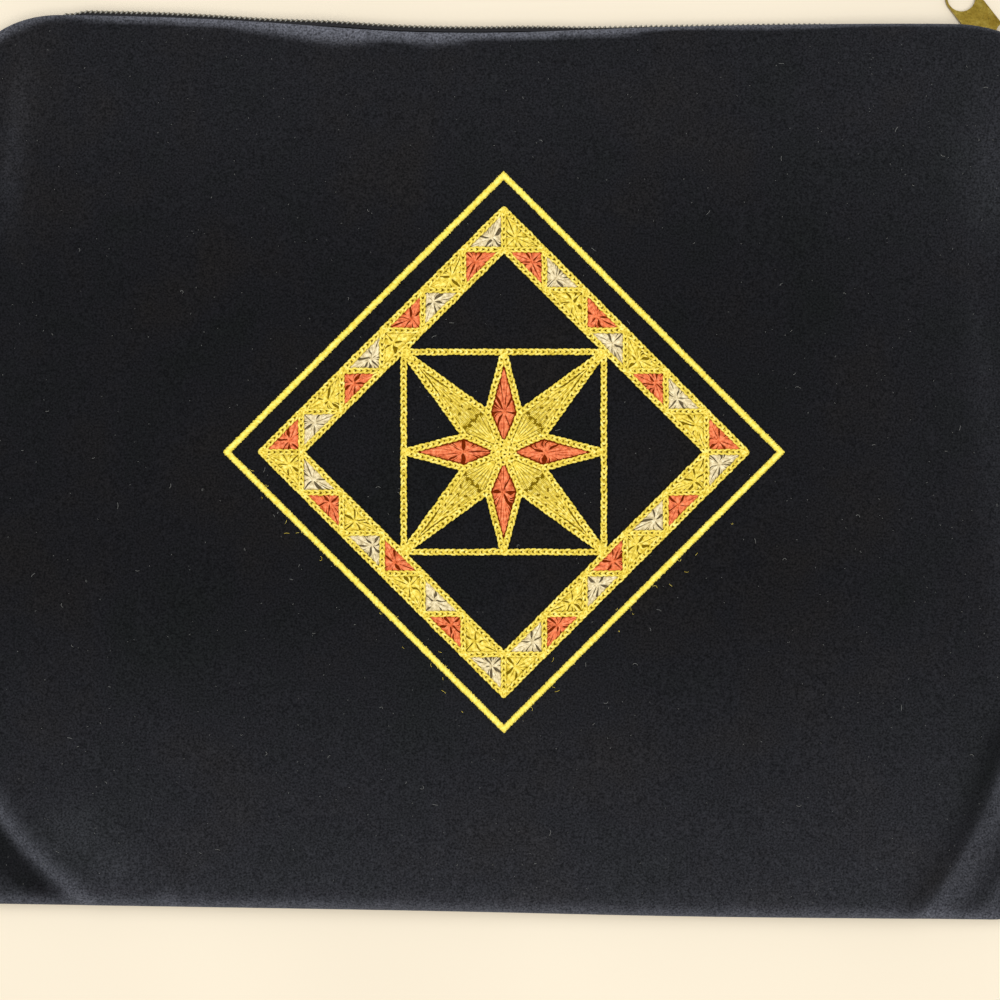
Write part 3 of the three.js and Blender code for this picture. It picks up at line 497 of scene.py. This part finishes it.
def brass_material():
    made = material("brass", metallic=1.0, roughness=0.4)
    place = place_in(made)
    tone = ramp(
        made, noise(made, place, 300, 3, 0.55),
        [(0.3, (0.19, 0.125, 0.016)), (0.55, (0.26, 0.185, 0.03)), (0.8, (0.34, 0.26, 0.06))],
    )
    link(made, tone, "Color", shader_of(made), "Base Color")
    worn = ramp(made, noise(made, place, 1500, 3), [(0.3, (0.42, 0.42, 0.42)), (0.7, (0.26, 0.26, 0.26))])
    link(made, worn, "Color", shader_of(made), "Roughness")
    link(made, bump(made, noise(made, place, 1800, 3), 0.2, 0.0001), "Normal", shader_of(made), "Normal")
    return made


def coil_material():
    made = material("coil_nylon", roughness=0.38, specular_ior_level=0.6)
    place = place_in(made)
    tone = ramp(made, noise(made, place, 700, 2), [(0.3, (0.03, 0.026, 0.013)), (0.7, (0.072, 0.06, 0.032))])
    link(made, tone, "Color", shader_of(made), "Base Color")
    return made


def tape_material():
    made = material("woven_tape", roughness=0.85, specular_ior_level=0.25)
    place = place_in(made)
    weave = node(made, "ShaderNodeTexWave", Vector=(place, "Vector"), Scale=900.0, Distortion=0.4)
    tone = ramp(made, weave, [(0.2, (0.006, 0.006, 0.008)), (0.8, (0.022, 0.022, 0.026))], "Color")
    link(made, tone, "Color", shader_of(made), "Base Color")
    link(made, bump(made, weave, 0.6, 0.0002), "Normal", shader_of(made), "Normal")
    return made


def paint(made_object, look):
    made_object.data.materials.clear()
    made_object.data.materials.append(look)


def dress(made_object, look, body="bag", replaces=()):
    paint(made_object, look)
    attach(made_object, body)
    if replaces:
        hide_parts(*replaces)
    return made_object


VELVET = velvet_material()
GOLD = thread_material("gold_thread", (0.46, 0.33, 0.012), (0.77, 0.61, 0.075), (0.96, 0.86, 0.29))
SATIN = thread_material("gold_satin_thread", (0.70, 0.55, 0.04), (0.86, 0.71, 0.11), (0.97, 0.87, 0.26), 0.34)
RED = thread_material("red_thread", (0.36, 0.05, 0.008), (0.72, 0.17, 0.055), (0.92, 0.35, 0.16))
SILVER = thread_material("silver_thread", (0.38, 0.31, 0.16), (0.69, 0.59, 0.36), (0.92, 0.85, 0.62))
# Underlay colours: the threads' colours darkened, painted shade for the gaps between threads.
GOLD_UNDERLAY_SHADED = shaded_underlay_material("gold_underlay_painted_shade", (0.10, 0.060, 0.001), (0.22, 0.145, 0.003))
RED_UNDERLAY_SHADED = shaded_underlay_material("red_underlay_painted_shade", (0.08, 0.008, 0.0005), (0.19, 0.022, 0.001))
SILVER_UNDERLAY_SHADED = shaded_underlay_material("silver_underlay_painted_shade", (0.055, 0.042, 0.022), (0.15, 0.115, 0.065))
BRASS = brass_material()
COIL = coil_material()
TAPE = tape_material()

# The cloth.
front = panel("velvet_front", True, FRONT_STEP)
dress(front, VELVET, replaces=["front_panel", "front_edge_left", "front_edge_right", "front_edge_bottom"])
back = panel("velvet_back", False, BACK_STEP)
dress(back, VELVET, replaces=["back_panel", "back_edge_left", "back_edge_right", "back_edge_bottom"])
for name in ("zipper_tape_front", "zipper_tape_back"):
    paint(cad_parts[name], TAPE)

# The finished cloth's height over a grid, for what lies on it.
bpy.context.view_layer.update()
cloth = BVHTree.FromPolygons(
    [tuple(v.co) for v in front.data.vertices], [tuple(p.vertices) for p in front.data.polygons]
)
DOWN = Vector((0, 0, -1))
CLOTH_STEP = 2.0
grid_x = np.arange(-184, 185, CLOTH_STEP)
grid_y = np.arange(-152, 153, CLOTH_STEP)
cloth_grid = np.zeros((len(grid_x), len(grid_y)))
for gi, gx in enumerate(grid_x):
    for gj, gy in enumerate(grid_y):
        hit = cloth.ray_cast(Vector((gx * MM, gy * MM, 0.05)), DOWN)[0]
        cloth_grid[gi, gj] = hit.z / MM if hit else 0.0


def cloth_z(x, y):
    """The finished cloth's height, read between the grid's points."""
    i = np.clip((x - grid_x[0]) / CLOTH_STEP, 0, len(grid_x) - 1.001)
    j = np.clip((y - grid_y[0]) / CLOTH_STEP, 0, len(grid_y) - 1.001)
    i0, j0 = i.astype(int), j.astype(int)
    fi, fj = i - i0, j - j0
    low = cloth_grid[i0, j0] * (1 - fj) + cloth_grid[i0, j0 + 1] * fj
    high = cloth_grid[i0 + 1, j0] * (1 - fj) + cloth_grid[i0 + 1, j0 + 1] * fj
    return low * (1 - fi) + high * fi


# The embroidery, in millimetres in its own frame: u, v and height over the cloth.
CENTRE_X, CENTRE_Y, STEP = 0.2, 4.6, 13.9
COS, SIN = math.cos(math.radians(BAG_TURN)), math.sin(math.radians(BAG_TURN))


def into_bag(u, v):
    return CENTRE_X + u * COS - v * SIN, CENTRE_Y + u * SIN + v * COS


def on_cloth(points):
    """Turns embroidery points into the bag's frame, on the cloth."""
    u, v, h = np.moveaxis(np.asarray(points, float), -1, 0)
    x, y = into_bag(u, v)
    return np.stack([x, y, cloth_z(x, y) + h], -1)


def sweep(name, lines, radii, sides=5, closed=False):
    """Tubes along lines of equal point count: lines is (count, points, 3) and radii (count, points) or a number."""
    lines = np.asarray(lines, float)
    count, size, _ = lines.shape
    radii = np.broadcast_to(np.asarray(radii, float), (count, size))
    if closed:
        along = np.roll(lines, -1, 1) - np.roll(lines, 1, 1)
    else:
        along = np.gradient(lines, axis=1)
    along /= np.linalg.norm(along, axis=-1, keepdims=True) + 1e-9
    side = np.cross(along, np.array([0.0, 0.0, 1.0]))
    side /= np.linalg.norm(side, axis=-1, keepdims=True) + 1e-9
    rise = np.cross(side, along)
    turns = np.arange(sides) * 2 * math.pi / sides
    ring = side[:, :, None] * np.cos(turns)[:, None] + rise[:, :, None] * np.sin(turns)[:, None]
    points = (lines[:, :, None] + ring * radii[:, :, None, None]).reshape(-1, 3)
    rows = size if closed else size - 1
    n, i, k = np.meshgrid(np.arange(count), np.arange(rows), np.arange(sides), indexing="ij")
    here, after = n * size + i, n * size + (i + 1) % size
    around = (k + 1) % sides
    quads = np.stack([here * sides + k, here * sides + around, after * sides + around, after * sides + k], -1)
    return mesh_object(name, points, quads.reshape(-1, 4).tolist())


ALONG = np.linspace(0, 1, 7)  # places along a straight thread
CHAIN_PITCH, CHAIN_RISE = 1.98, 0.75
FILL_RADIUS, FILL_RISE = 0.22, 0.8


def straight(starts, ends):
    starts, ends = np.asarray(starts, float), np.asarray(ends, float)
    return starts[:, None] + (ends - starts)[:, None] * ALONG[:, None]


def laid(flat, high, low=0.2):
    """Threads on the cloth that rise over their middle and dip at both ends."""
    arch = (1 - (2 * ALONG - 1) ** 4) * (np.asarray(high)[:, None] - low) + low
    return on_cloth(np.concatenate([flat, arch[..., None]], -1))


def chain_line(start, end):
    """Where the links of a chain-stitched line start, their direction and their pitch."""
    start, end = np.array(start, float), np.array(end, float)
    length = np.linalg.norm(end - start)
    count = max(1, round(length / CHAIN_PITCH))
    ways = np.repeat(((end - start) / length)[None], count, 0)
    t = (np.arange(count) / count)[:, None]
    return start + (end - start) * t, ways, np.full(count, length / count)


def chain_links(lines, width):
    """Loops of chain stitch: a narrow start, on top of the last link's round end."""
    at, ways, pitch = (np.concatenate(parts) for parts in zip(*[chain_line(*line) for line in lines]))
    count = len(at)
    turn = np.linspace(0, 2 * math.pi, 13)[:-1]
    jitter = rng.normal(0, 1, (count, 4))
    reach = (pitch * 1.45 * (1 + 0.04 * jitter[:, 0]))[:, None]
    wide = (width * (1 + 0.07 * jitter[:, 1]))[:, None]
    along = reach * (1 - np.cos(turn)) / 2 - 0.1 * reach
    across = wide / 2 * np.sin(turn) * (0.5 + 0.62 * (1 - np.cos(turn)) / 2)
    across = across + (0.05 * jitter[:, 2])[:, None]
    lift = CHAIN_RISE + 0.32 * np.cos(turn)[None] + (0.04 * jitter[:, 3])[:, None]
    side = np.stack([-ways[:, 1], ways[:, 0]], -1)
    flat = at[:, None] + ways[:, None] * along[..., None] + side[:, None] * across[..., None]
    return on_cloth(np.concatenate([flat, lift[..., None]], -1))


def turned(points, quarter):
    a = quarter * math.pi / 2
    c, s = round(math.cos(a)), round(math.sin(a))
    return [(x * c - y * s, x * s + y * c) for x, y in points]


def all_quarters(lines):
    return [turned(line, q) for q in range(4) for line in lines]


# The band: two diamonds and, between them, a staircase of dividers.
ROWS, SQUARE, VALLEY = 6, 2.47, 1.05
quarter_lines = [
    [(ROWS * STEP, 0), (0, ROWS * STEP)],
    [((ROWS - 1) * STEP, 0), (0, (ROWS - 1) * STEP)],
    [((ROWS - 1) * STEP, 0), (ROWS * STEP, 0)],
]
for k in range(1, ROWS):
    x, y = k * STEP, (ROWS - k) * STEP
    quarter_lines.append([(x - STEP, y), (x, y)])
    quarter_lines.append([(x, y - STEP), (x, y)])
band_chain = sweep("band_chain", chain_links(all_quarters(quarter_lines), 1.66), 0.42, 5, closed=True)
dress(band_chain, GOLD, replaces=["triangle_band"])

# The star in its square.
half_side = SQUARE * STEP
corners = []
for k in range(16):
    turn = k * math.pi / 8
    radius = VALLEY * STEP if k % 2 else half_side * (math.sqrt(2) if k % 4 else 1)
    corners.append((radius * math.cos(turn), radius * math.sin(turn)))
star_lines = []
for k in range(16):
    low, high = (corners[k], corners[(k + 1) % 16])
    star_lines.append([low, high] if k % 2 else [high, low])
for k in range(1, 16, 2):
    star_lines.append([(corners[k][0] * 0.25, corners[k][1] * 0.25), corners[k]])
star_lines += all_quarters([[(half_side, -half_side), (half_side, half_side)]])
knot = []
for ring_radius, count in ((0.7, 3), (2.0, 8), (3.3, 13)):
    for k in range(count):
        turn = 2 * math.pi * k / count
        place = (ring_radius * math.cos(turn), ring_radius * math.sin(turn))
        knot.append([place, (place[0] - 1.5 * math.sin(turn), place[1] + 1.5 * math.cos(turn))])
star_chain = sweep("star_chain", chain_links(star_lines + knot, 1.86), 0.45, 5, closed=True)
dress(star_chain, GOLD, replaces=["star_and_square"])

# The satin border: threads side by side across the line, mitred at the corners.
RADIUS, LINE, SATIN_STEP = 95.15, 1.78, 0.34
border_sides = [[np.array(p) for p in turned([(RADIUS, 0), (0, RADIUS)], q)] for q in range(4)]
starts, ends = [], []
for a, b in border_sides:
    count = int(np.linalg.norm(b - a) / SATIN_STEP)
    t = ((np.arange(count) + 0.5) / count)[:, None]
    reach = LINE / math.sqrt(2) / RADIUS * (1 + rng.normal(0, 0.1, (2, count, 1)))
    lean = 0.3 * (b - a) / np.linalg.norm(b - a) * np.minimum(1, np.minimum(t, 1 - t) * 60)
    middle = a + (b - a) * t
    starts.append(middle * (1 - reach[0]) - lean)
    ends.append(middle * (1 + reach[1]) + lean)
flat = straight(np.concatenate(starts), np.concatenate(ends))
satin = sweep("satin_border_thread", laid(flat, 0.95 + rng.normal(0, 0.05, len(flat)), 0.15), 0.25, 5)
dress(satin, SATIN, replaces=["satin_border"])

# The fills of the band's triangles, by colour.
# Each row runs along one side of the diamond: right to top, top to left, left to bottom, bottom to right.
COLOUR_ROWS = ["RGSRGSRGSRG", "SRGSRGSRGSR", "GSRGSRGSRGS", "GSRGSRGSRGS"]


def fields(q):
    """The triangles along one side of the diamond, in order, as corner lists with the right angle first."""
    found = []
    for k in range(ROWS):
        x, y = (ROWS - k) * STEP, k * STEP
        found.append([(x - STEP, y), (x, y), (x - STEP, y + STEP)])
        if k < ROWS - 1:
            found.append([(x - STEP, y + STEP), (x - 2 * STEP, y + STEP), (x - STEP, y)])
    return [turned(triangle, q) for triangle in found]


def shrink(triangle, distance):
    a, b, c = (np.array(p) for p in triangle)
    sides = [np.linalg.norm(b - c), np.linalg.norm(c - a), np.linalg.norm(a - b)]
    total = sum(sides)
    middle = (a * sides[0] + b * sides[1] + c * sides[2]) / total
    area = abs((b[0] - a[0]) * (c[1] - a[1]) - (c[0] - a[0]) * (b[1] - a[1])) / 2
    share = distance / (2 * area / total)
    return [p + (middle - p) * share for p in (a, b, c)], middle


def leaves(shape, middle, spacing=0.46):
    """Leaves of thread from a middle to each side of a shape, with slits between them, and each thread's height."""
    made, heights = [], []
    for here, after in zip(shape, shape[1:] + shape[:1]):
        parts = 3 if np.linalg.norm(after - here) > 15 else 2
        for part in range(parts):
            low, high = (here + (after - here) * (part + share) / parts for share in (0.055, 0.945))
            count = max(4, round(np.linalg.norm(high - low) / spacing))
            share = (np.arange(count) + 0.5) / count - 0.5
            base = middle + ((low + high) / 2 - middle) * 0.05
            axis = base + ((low + high) / 2 - base) * ALONG[:, None]
            share = share[rng.random(count) > 0.13]
            bow = rng.normal(0, 0.06) * np.sin(math.pi * ALONG) + rng.normal(0, 0.05) * np.sin(2 * math.pi * ALONG)
            spread = 0.04 + 0.96 * ALONG ** rng.uniform(1.05, 1.6)
            bent = axis + bow[:, None] * (high - low)
            made.append(bent + share[:, None, None] * spread[:, None] * (high - low))
            heights.append(1 - 1.5 * share**2 + rng.normal(0, 0.08, len(share)) + rng.normal(0, 0.06))
    return np.concatenate(made), np.concatenate(heights)


def triangle_fill(triangle):
    shape, middle = shrink(triangle, 0.95)
    return leaves(shape, middle + rng.normal(0, 0.25, 2))


filled = {"G": [], "R": [], "S": []}
grounds = {"G": [], "R": [], "S": []}
for q, row in enumerate(COLOUR_ROWS):
    for triangle, colour in zip(fields(q), row):
        filled[colour].append(triangle_fill(triangle))
        grounds[colour].append(shrink(triangle, 0.2)[0])


# The star's arms: red kites on the straight ones, gold lengthwise threads on the slanting ones.
def arm_axes(heading):
    way = np.array([math.cos(heading), math.sin(heading)])
    return way, np.array([-way[1], way[0]])


def kite_fill(heading):
    way, side = arm_axes(heading)
    shape = [way * 4.2, way * 13.6 - side * 3.9, way * 28.8, way * 13.6 + side * 3.9]
    return leaves(shape, way * 13.9 + side * rng.normal(0, 0.3), 0.5)


def slant_fill(heading):
    """Threads in rows of stitches along the arm, and others that gather from its break to the centre."""
    way, side = arm_axes(heading)
    starts, ends, heights = [], [], []
    break_at, tip, slope, stitch = 14.6, 41.5, 0.163, 8.2
    count = 19
    for k, share in enumerate(np.linspace(-1, 1, count)):
        far = tip - (tip - break_at) * max(0, abs(share) - 0.1) * 0.55
        apart = 0.1 + 0.4 * (k % 4 < 2) + abs(rng.normal(0, 0.12))
        split = break_at + 0.6 * (k // 3 % 2)
        low = split + apart
        marks = np.arange(low + (k // 3 * 3.3) % stitch, far - 1.5, stitch)
        marks = np.concatenate([[low], marks[marks > low + 2], [far]])
        for a, b in zip(marks[:-1], marks[1:]):
            starts.append(way * (a + 0.3) + side * share * slope * (tip - a))
            ends.append(way * (b - (0.9 if k % 3 == 1 else 0.4)) + side * share * slope * (tip - b))
            heights.append(1 if k % 3 else 0.3)
        starts.append(way * (4.4 + 0.5 * abs(share)) + side * share * 0.6)
        ends.append(way * (split - apart) + side * share * 4.4)
        heights.append(1 if k % 3 else 0.3)
    return straight(starts, ends), np.array(heights) + rng.normal(0, 0.05, len(heights))


petals = [kite_fill(k * math.pi / 2) for k in range(4)]
slants = [slant_fill((k + 0.5) * math.pi / 2) for k in range(4)]


def fill_piece(name, fills, look, replaces=()):
    flat = np.concatenate([f[0] for f in fills])
    heights = FILL_RISE * np.concatenate([f[1] for f in fills])
    return dress(sweep(name, laid(flat, heights), FILL_RADIUS, 4), look, replaces=replaces)


fill_piece("gold_fill", filled["G"] + slants, GOLD)
fill_piece("red_fill", filled["R"], RED)
fill_piece("silver_fill", filled["S"], SILVER)
fill_piece(
    "star_petals", petals, RED,
    replaces=["star_petal_east", "star_petal_north", "star_petal_west", "star_petal_south"],
)


def ground_piece(name, shapes, look, high=0.28):
    """Low plates under the threads, cut into small faces that follow the cloth; their dark colour is painted shade
    for the gaps between threads.
    """
    points, faces = [], []
    for shape in shapes:
        shape = np.array(shape, float)
        hub = shape.mean(0)
        for k in range(len(shape)):
            a, b = shape[k], shape[(k + 1) % len(shape)]
            parts = max(1, int(max(np.linalg.norm(a - b), np.linalg.norm(a - hub)) / 4))
            first = len(points)
            rows = []
            for i in range(parts + 1):
                row = []
                for j in range(i + 1):
                    spot = hub + (a - hub) * ((i - j) / parts) + (b - hub) * (j / parts)
                    row.append(len(points))
                    points.append((spot[0], spot[1], high))
                rows.append(row)
            for i in range(parts):
                for j in range(i + 1):
                    faces.append((rows[i][j], rows[i + 1][j], rows[i + 1][j + 1]))
                    if j < i:
                        faces.append((rows[i][j], rows[i + 1][j + 1], rows[i][j + 1]))
    made = mesh_object(name, on_cloth(points), faces)
    return dress(made, look)


def strip(start, end, half):
    start, end = np.array(start, float), np.array(end, float)
    way = (end - start) / np.linalg.norm(end - start)
    side = np.array([-way[1], way[0]]) * half
    return [start - side, end - side, end + side, start + side]


chain_strips = [strip(a, b, 0.95) for a, b in all_quarters(quarter_lines) + star_lines]
slant_grounds = []
for k in range(4):
    heading = (k + 0.5) * math.pi / 2
    tip = np.array([math.cos(heading), math.sin(heading)]) * half_side * math.sqrt(2) * 0.97
    left, right = np.array(corners[4 * k + 1]), np.array(corners[4 * k + 3])
    slant_grounds.append([np.zeros(2), left, tip, right])
kite_grounds = []
for k in range(4):
    tip = np.array(corners[4 * k]) * 0.9
    kite_grounds.append([tip * 0.1, np.array(corners[4 * k - 1]) * 0.95, tip, np.array(corners[4 * k + 1]) * 0.95])
border_strips = []
for a, b in border_sides:
    border_strips += [strip(a + (b - a) * k / 20, a + (b - a) * (k + 1) / 20, 0.95) for k in range(20)]
# Dark underlay plates: painted shade in the gaps of the fills, the chains and the border.
ground_piece("gold_ground", grounds["G"] + chain_strips + slant_grounds + border_strips, GOLD_UNDERLAY_SHADED)
ground_piece("red_ground", grounds["R"] + kite_grounds, RED_UNDERLAY_SHADED, 0.3)
ground_piece("silver_ground", grounds["S"], SILVER_UNDERLAY_SHADED)


# The zip's coil: two rows of turns that meet in the middle. From here on, the mouth's lines take the zip's corner.
TOP_RIGHT = ZIP_TOP_RIGHT


def zip_frames(x):
    """The coil's middle at each x, the way across it and the way out of the mouth."""
    along = zip_along(x)
    y, z = rolled_point(x, along, 0)
    y0, z0 = rolled_point(x, along - 0.2, 0)
    y1, z1 = rolled_point(x, along + 0.2, 0)
    across = np.stack([np.zeros_like(x), y1 - y0, z1 - z0], -1)
    across /= np.linalg.norm(across, axis=-1, keepdims=True)
    out = np.stack([np.zeros_like(x), across[:, 2], -across[:, 1]], -1)
    here = np.stack([x, y, z], -1)
    return here + out * (COIL_THICK * (read_table(COIL_SHOWING, x / WIDTH) - 0.5))[:, None], across, out


PITCH, WIRE = 1.78, 0.56
turns = int((COIL_TO - COIL_FROM - 1) / PITCH)
wide, thick = COIL_WIDTH * 0.31, COIL_THICK / 2 - WIRE
centre = COIL_WIDTH / 2 - wide - WIRE
coil_rows = []
for side in (1, -1):
    t = np.arange(turns * 14 + 1) / 14
    x = COIL_FROM + 0.5 + (t + (0.5 if side < 0 else 0)) * PITCH
    here, across, out = zip_frames(x)
    turn = 2 * math.pi * t
    line = here + across * (side * (centre - wide * np.cos(turn)))[:, None] + out * (thick * np.sin(turn))[:, None]
    line[:, 0] += 0.26 * PITCH * np.sin(turn)
    coil_rows.append(line)
coil = sweep("coil_turns", coil_rows, WIRE, 6)
dress(coil, COIL, replaces=["zipper_coil"])

# The cords that the turns are wound round.
x = np.linspace(COIL_FROM + 0.5, COIL_TO - 0.5, 260)
here, across, out = zip_frames(x)
cords = [here + across * (side * centre + off) for side in (1, -1) for off in (-0.95, 0, 0.95)]
cord = sweep("coil_cord", cords, 0.46, 6)
dress(cord, COIL)

# Pale slanted dots between its turns: short grey tubes over the coil's edge.
x = COIL_FROM + 0.5 + (np.arange(turns) + 0.5)[:, None] * PITCH + np.linspace(-0.28, 0.28, 4)
here, across, out = (part.reshape(*x.shape, 3) for part in zip_frames(x.ravel()))
down = np.linspace(1, 0, 4)[:, None]
dots = here + across * (COIL_WIDTH * 0.5 + 0.05 + 0.45 * down) + out * (0.35 - 0.75 * down)
pale_coil_dots = sweep("coil_pale_dots", dots, 0.26, 5)
dress(pale_coil_dots, material("pale_dot_grey", (0.27, 0.265, 0.24), 0.6))

# The strip of each tape that shows between the coil and the hem: its section, across and out from the coil's middle.
TAPE_STRIP = ((2.0, 0.2), (2.6, -0.2), (3.1, -0.8), (3.5, -1.6))
x = np.linspace(COIL_FROM + 1, SLIDER_X - 12, 240)
here, across, out = zip_frames(x)
for name, side in (("tape_edge_front", 1), ("tape_edge_back", -1)):
    rows = np.stack([here + across * side * a + out * b for a, b in TAPE_STRIP])
    edge = mesh_object(name, rows.reshape(-1, 3), grid_faces(*rows.shape[:2]))
    edge.modifiers.new("thickness", "SOLIDIFY").thickness = 0.0003
    dress(edge, TAPE)

# The tapes' joined end, past the coil.
x = np.linspace(-WIDTH / 2 + 1.2, COIL_FROM + 3, 40)
here, across, out = zip_frames(x)
reach = np.linspace(-1, 1, 9)[:, None, None] * (slit(x) / 2 + 1.2)[:, None]
level = (COIL_THICK * (0.5 - read_table(COIL_SHOWING, x / WIDTH)) - 1.4)[:, None]
rows = here + across * reach + out * level
end_tape = mesh_object("zip_end_tape", rows.reshape(-1, 3), grid_faces(*rows.shape[:2]))
end_tape.modifiers.new("thickness", "SOLIDIFY").thickness = 0.0005
dress(end_tape, TAPE)

# Brass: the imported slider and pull, with softened edges.
for name in ("zipper_slider", "pull_tab"):
    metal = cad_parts[name]
    paint(metal, BRASS)
    softened = metal.modifiers.new("softened", "BEVEL")
    softened.width = 0.00026
    softened.segments = 2
    softened.limit_method = "ANGLE"
    softened.angle_limit = math.radians(35)

# Lint on the velvet, and loose thread ends beside the border's lower sides.
def fibres(name, spots, length, bend, radius, look):
    t = np.linspace(-0.5, 0.5, 6)
    angle = rng.uniform(0, 2 * math.pi, len(spots))[:, None] + rng.normal(0, bend, len(spots))[:, None] * t
    x = spots[:, :1] + np.cumsum(np.cos(angle), 1) * length[:, None] / 6
    y = spots[:, 1:] + np.cumsum(np.sin(angle), 1) * length[:, None] / 6
    points = np.stack([x, y, cloth_z(x, y) + 0.14 + 0.08 * np.cos(t * 5)], -1)
    return dress(sweep(name, points, radius, 3), look)


LINT, ENDS = 760, 46
length = rng.uniform(0.2, 0.6, LINT) * np.where(rng.random(LINT) < 0.12, 4.5, 1)
spots = np.stack([rng.uniform(-178, 178, LINT), rng.uniform(-150, 148, LINT)], -1)
fibres("lint", spots, length, 2.2, 0.075, material("lint", (0.17, 0.175, 0.17), 0.8))
t = rng.uniform(0.08, 0.92, ENDS)
out_by = rng.normal(0, 1.6, ENDS) + 0.8
sides = np.where(rng.random(ENDS) < 0.5, -1, 1)
spots = np.stack(into_bag(sides * (RADIUS * t + out_by), -(RADIUS * (1 - t) + out_by)), -1)
fibres("loose_thread_ends", spots, rng.uniform(0.8, 2.6, ENDS), 2.6, 0.06, GOLD)

# Floor and light.
bpy.ops.mesh.primitive_plane_add(size=6, location=(0, 0, 0))
floor = bpy.context.object
floor.name = "floor"
floor_look = material("floor", roughness=0.7, specular_ior_level=0.2)
floor.data.materials.append(floor_look)
floor_noise = noise(floor_look, place_in(floor_look), 6, 2)
floor_tone = ramp(floor_look, floor_noise, [(0.3, (0.70, 0.63, 0.51)), (0.7, (0.735, 0.665, 0.54))])
link(floor_look, floor_tone, "Color", shader_of(floor_look), "Base Color")
floor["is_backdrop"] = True


def area_light(name, place, size, power, colour):
    """A round light that faces the middle of the bag."""
    data = bpy.data.lights.new(name, "AREA")
    data.shape = "DISK"
    data.size, data.energy, data.color = size, power, colour
    lamp = bpy.data.objects.new(name, data)
    lamp.location = place
    lamp.rotation_euler = (-Vector(place)).to_track_quat("-Z", "Y").to_euler()
    bpy.context.scene.collection.objects.link(lamp)


area_light("key", (0.25, -0.3, 1.75), 1.3, 21.5, (1, 0.97, 0.92))
area_light("fill", (-0.6, 0.7, 1.5), 1.3, 11.5, (0.95, 0.97, 1))
world = bpy.data.worlds.new("studio")
bpy.context.scene.world = world
world.use_nodes = True
world.node_tree.nodes["Background"].inputs["Color"].default_value = (1, 0.98, 0.95, 1)
world.node_tree.nodes["Background"].inputs["Strength"].default_value = 0.55
bpy.context.scene.view_settings.view_transform = "Standard"

low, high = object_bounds()
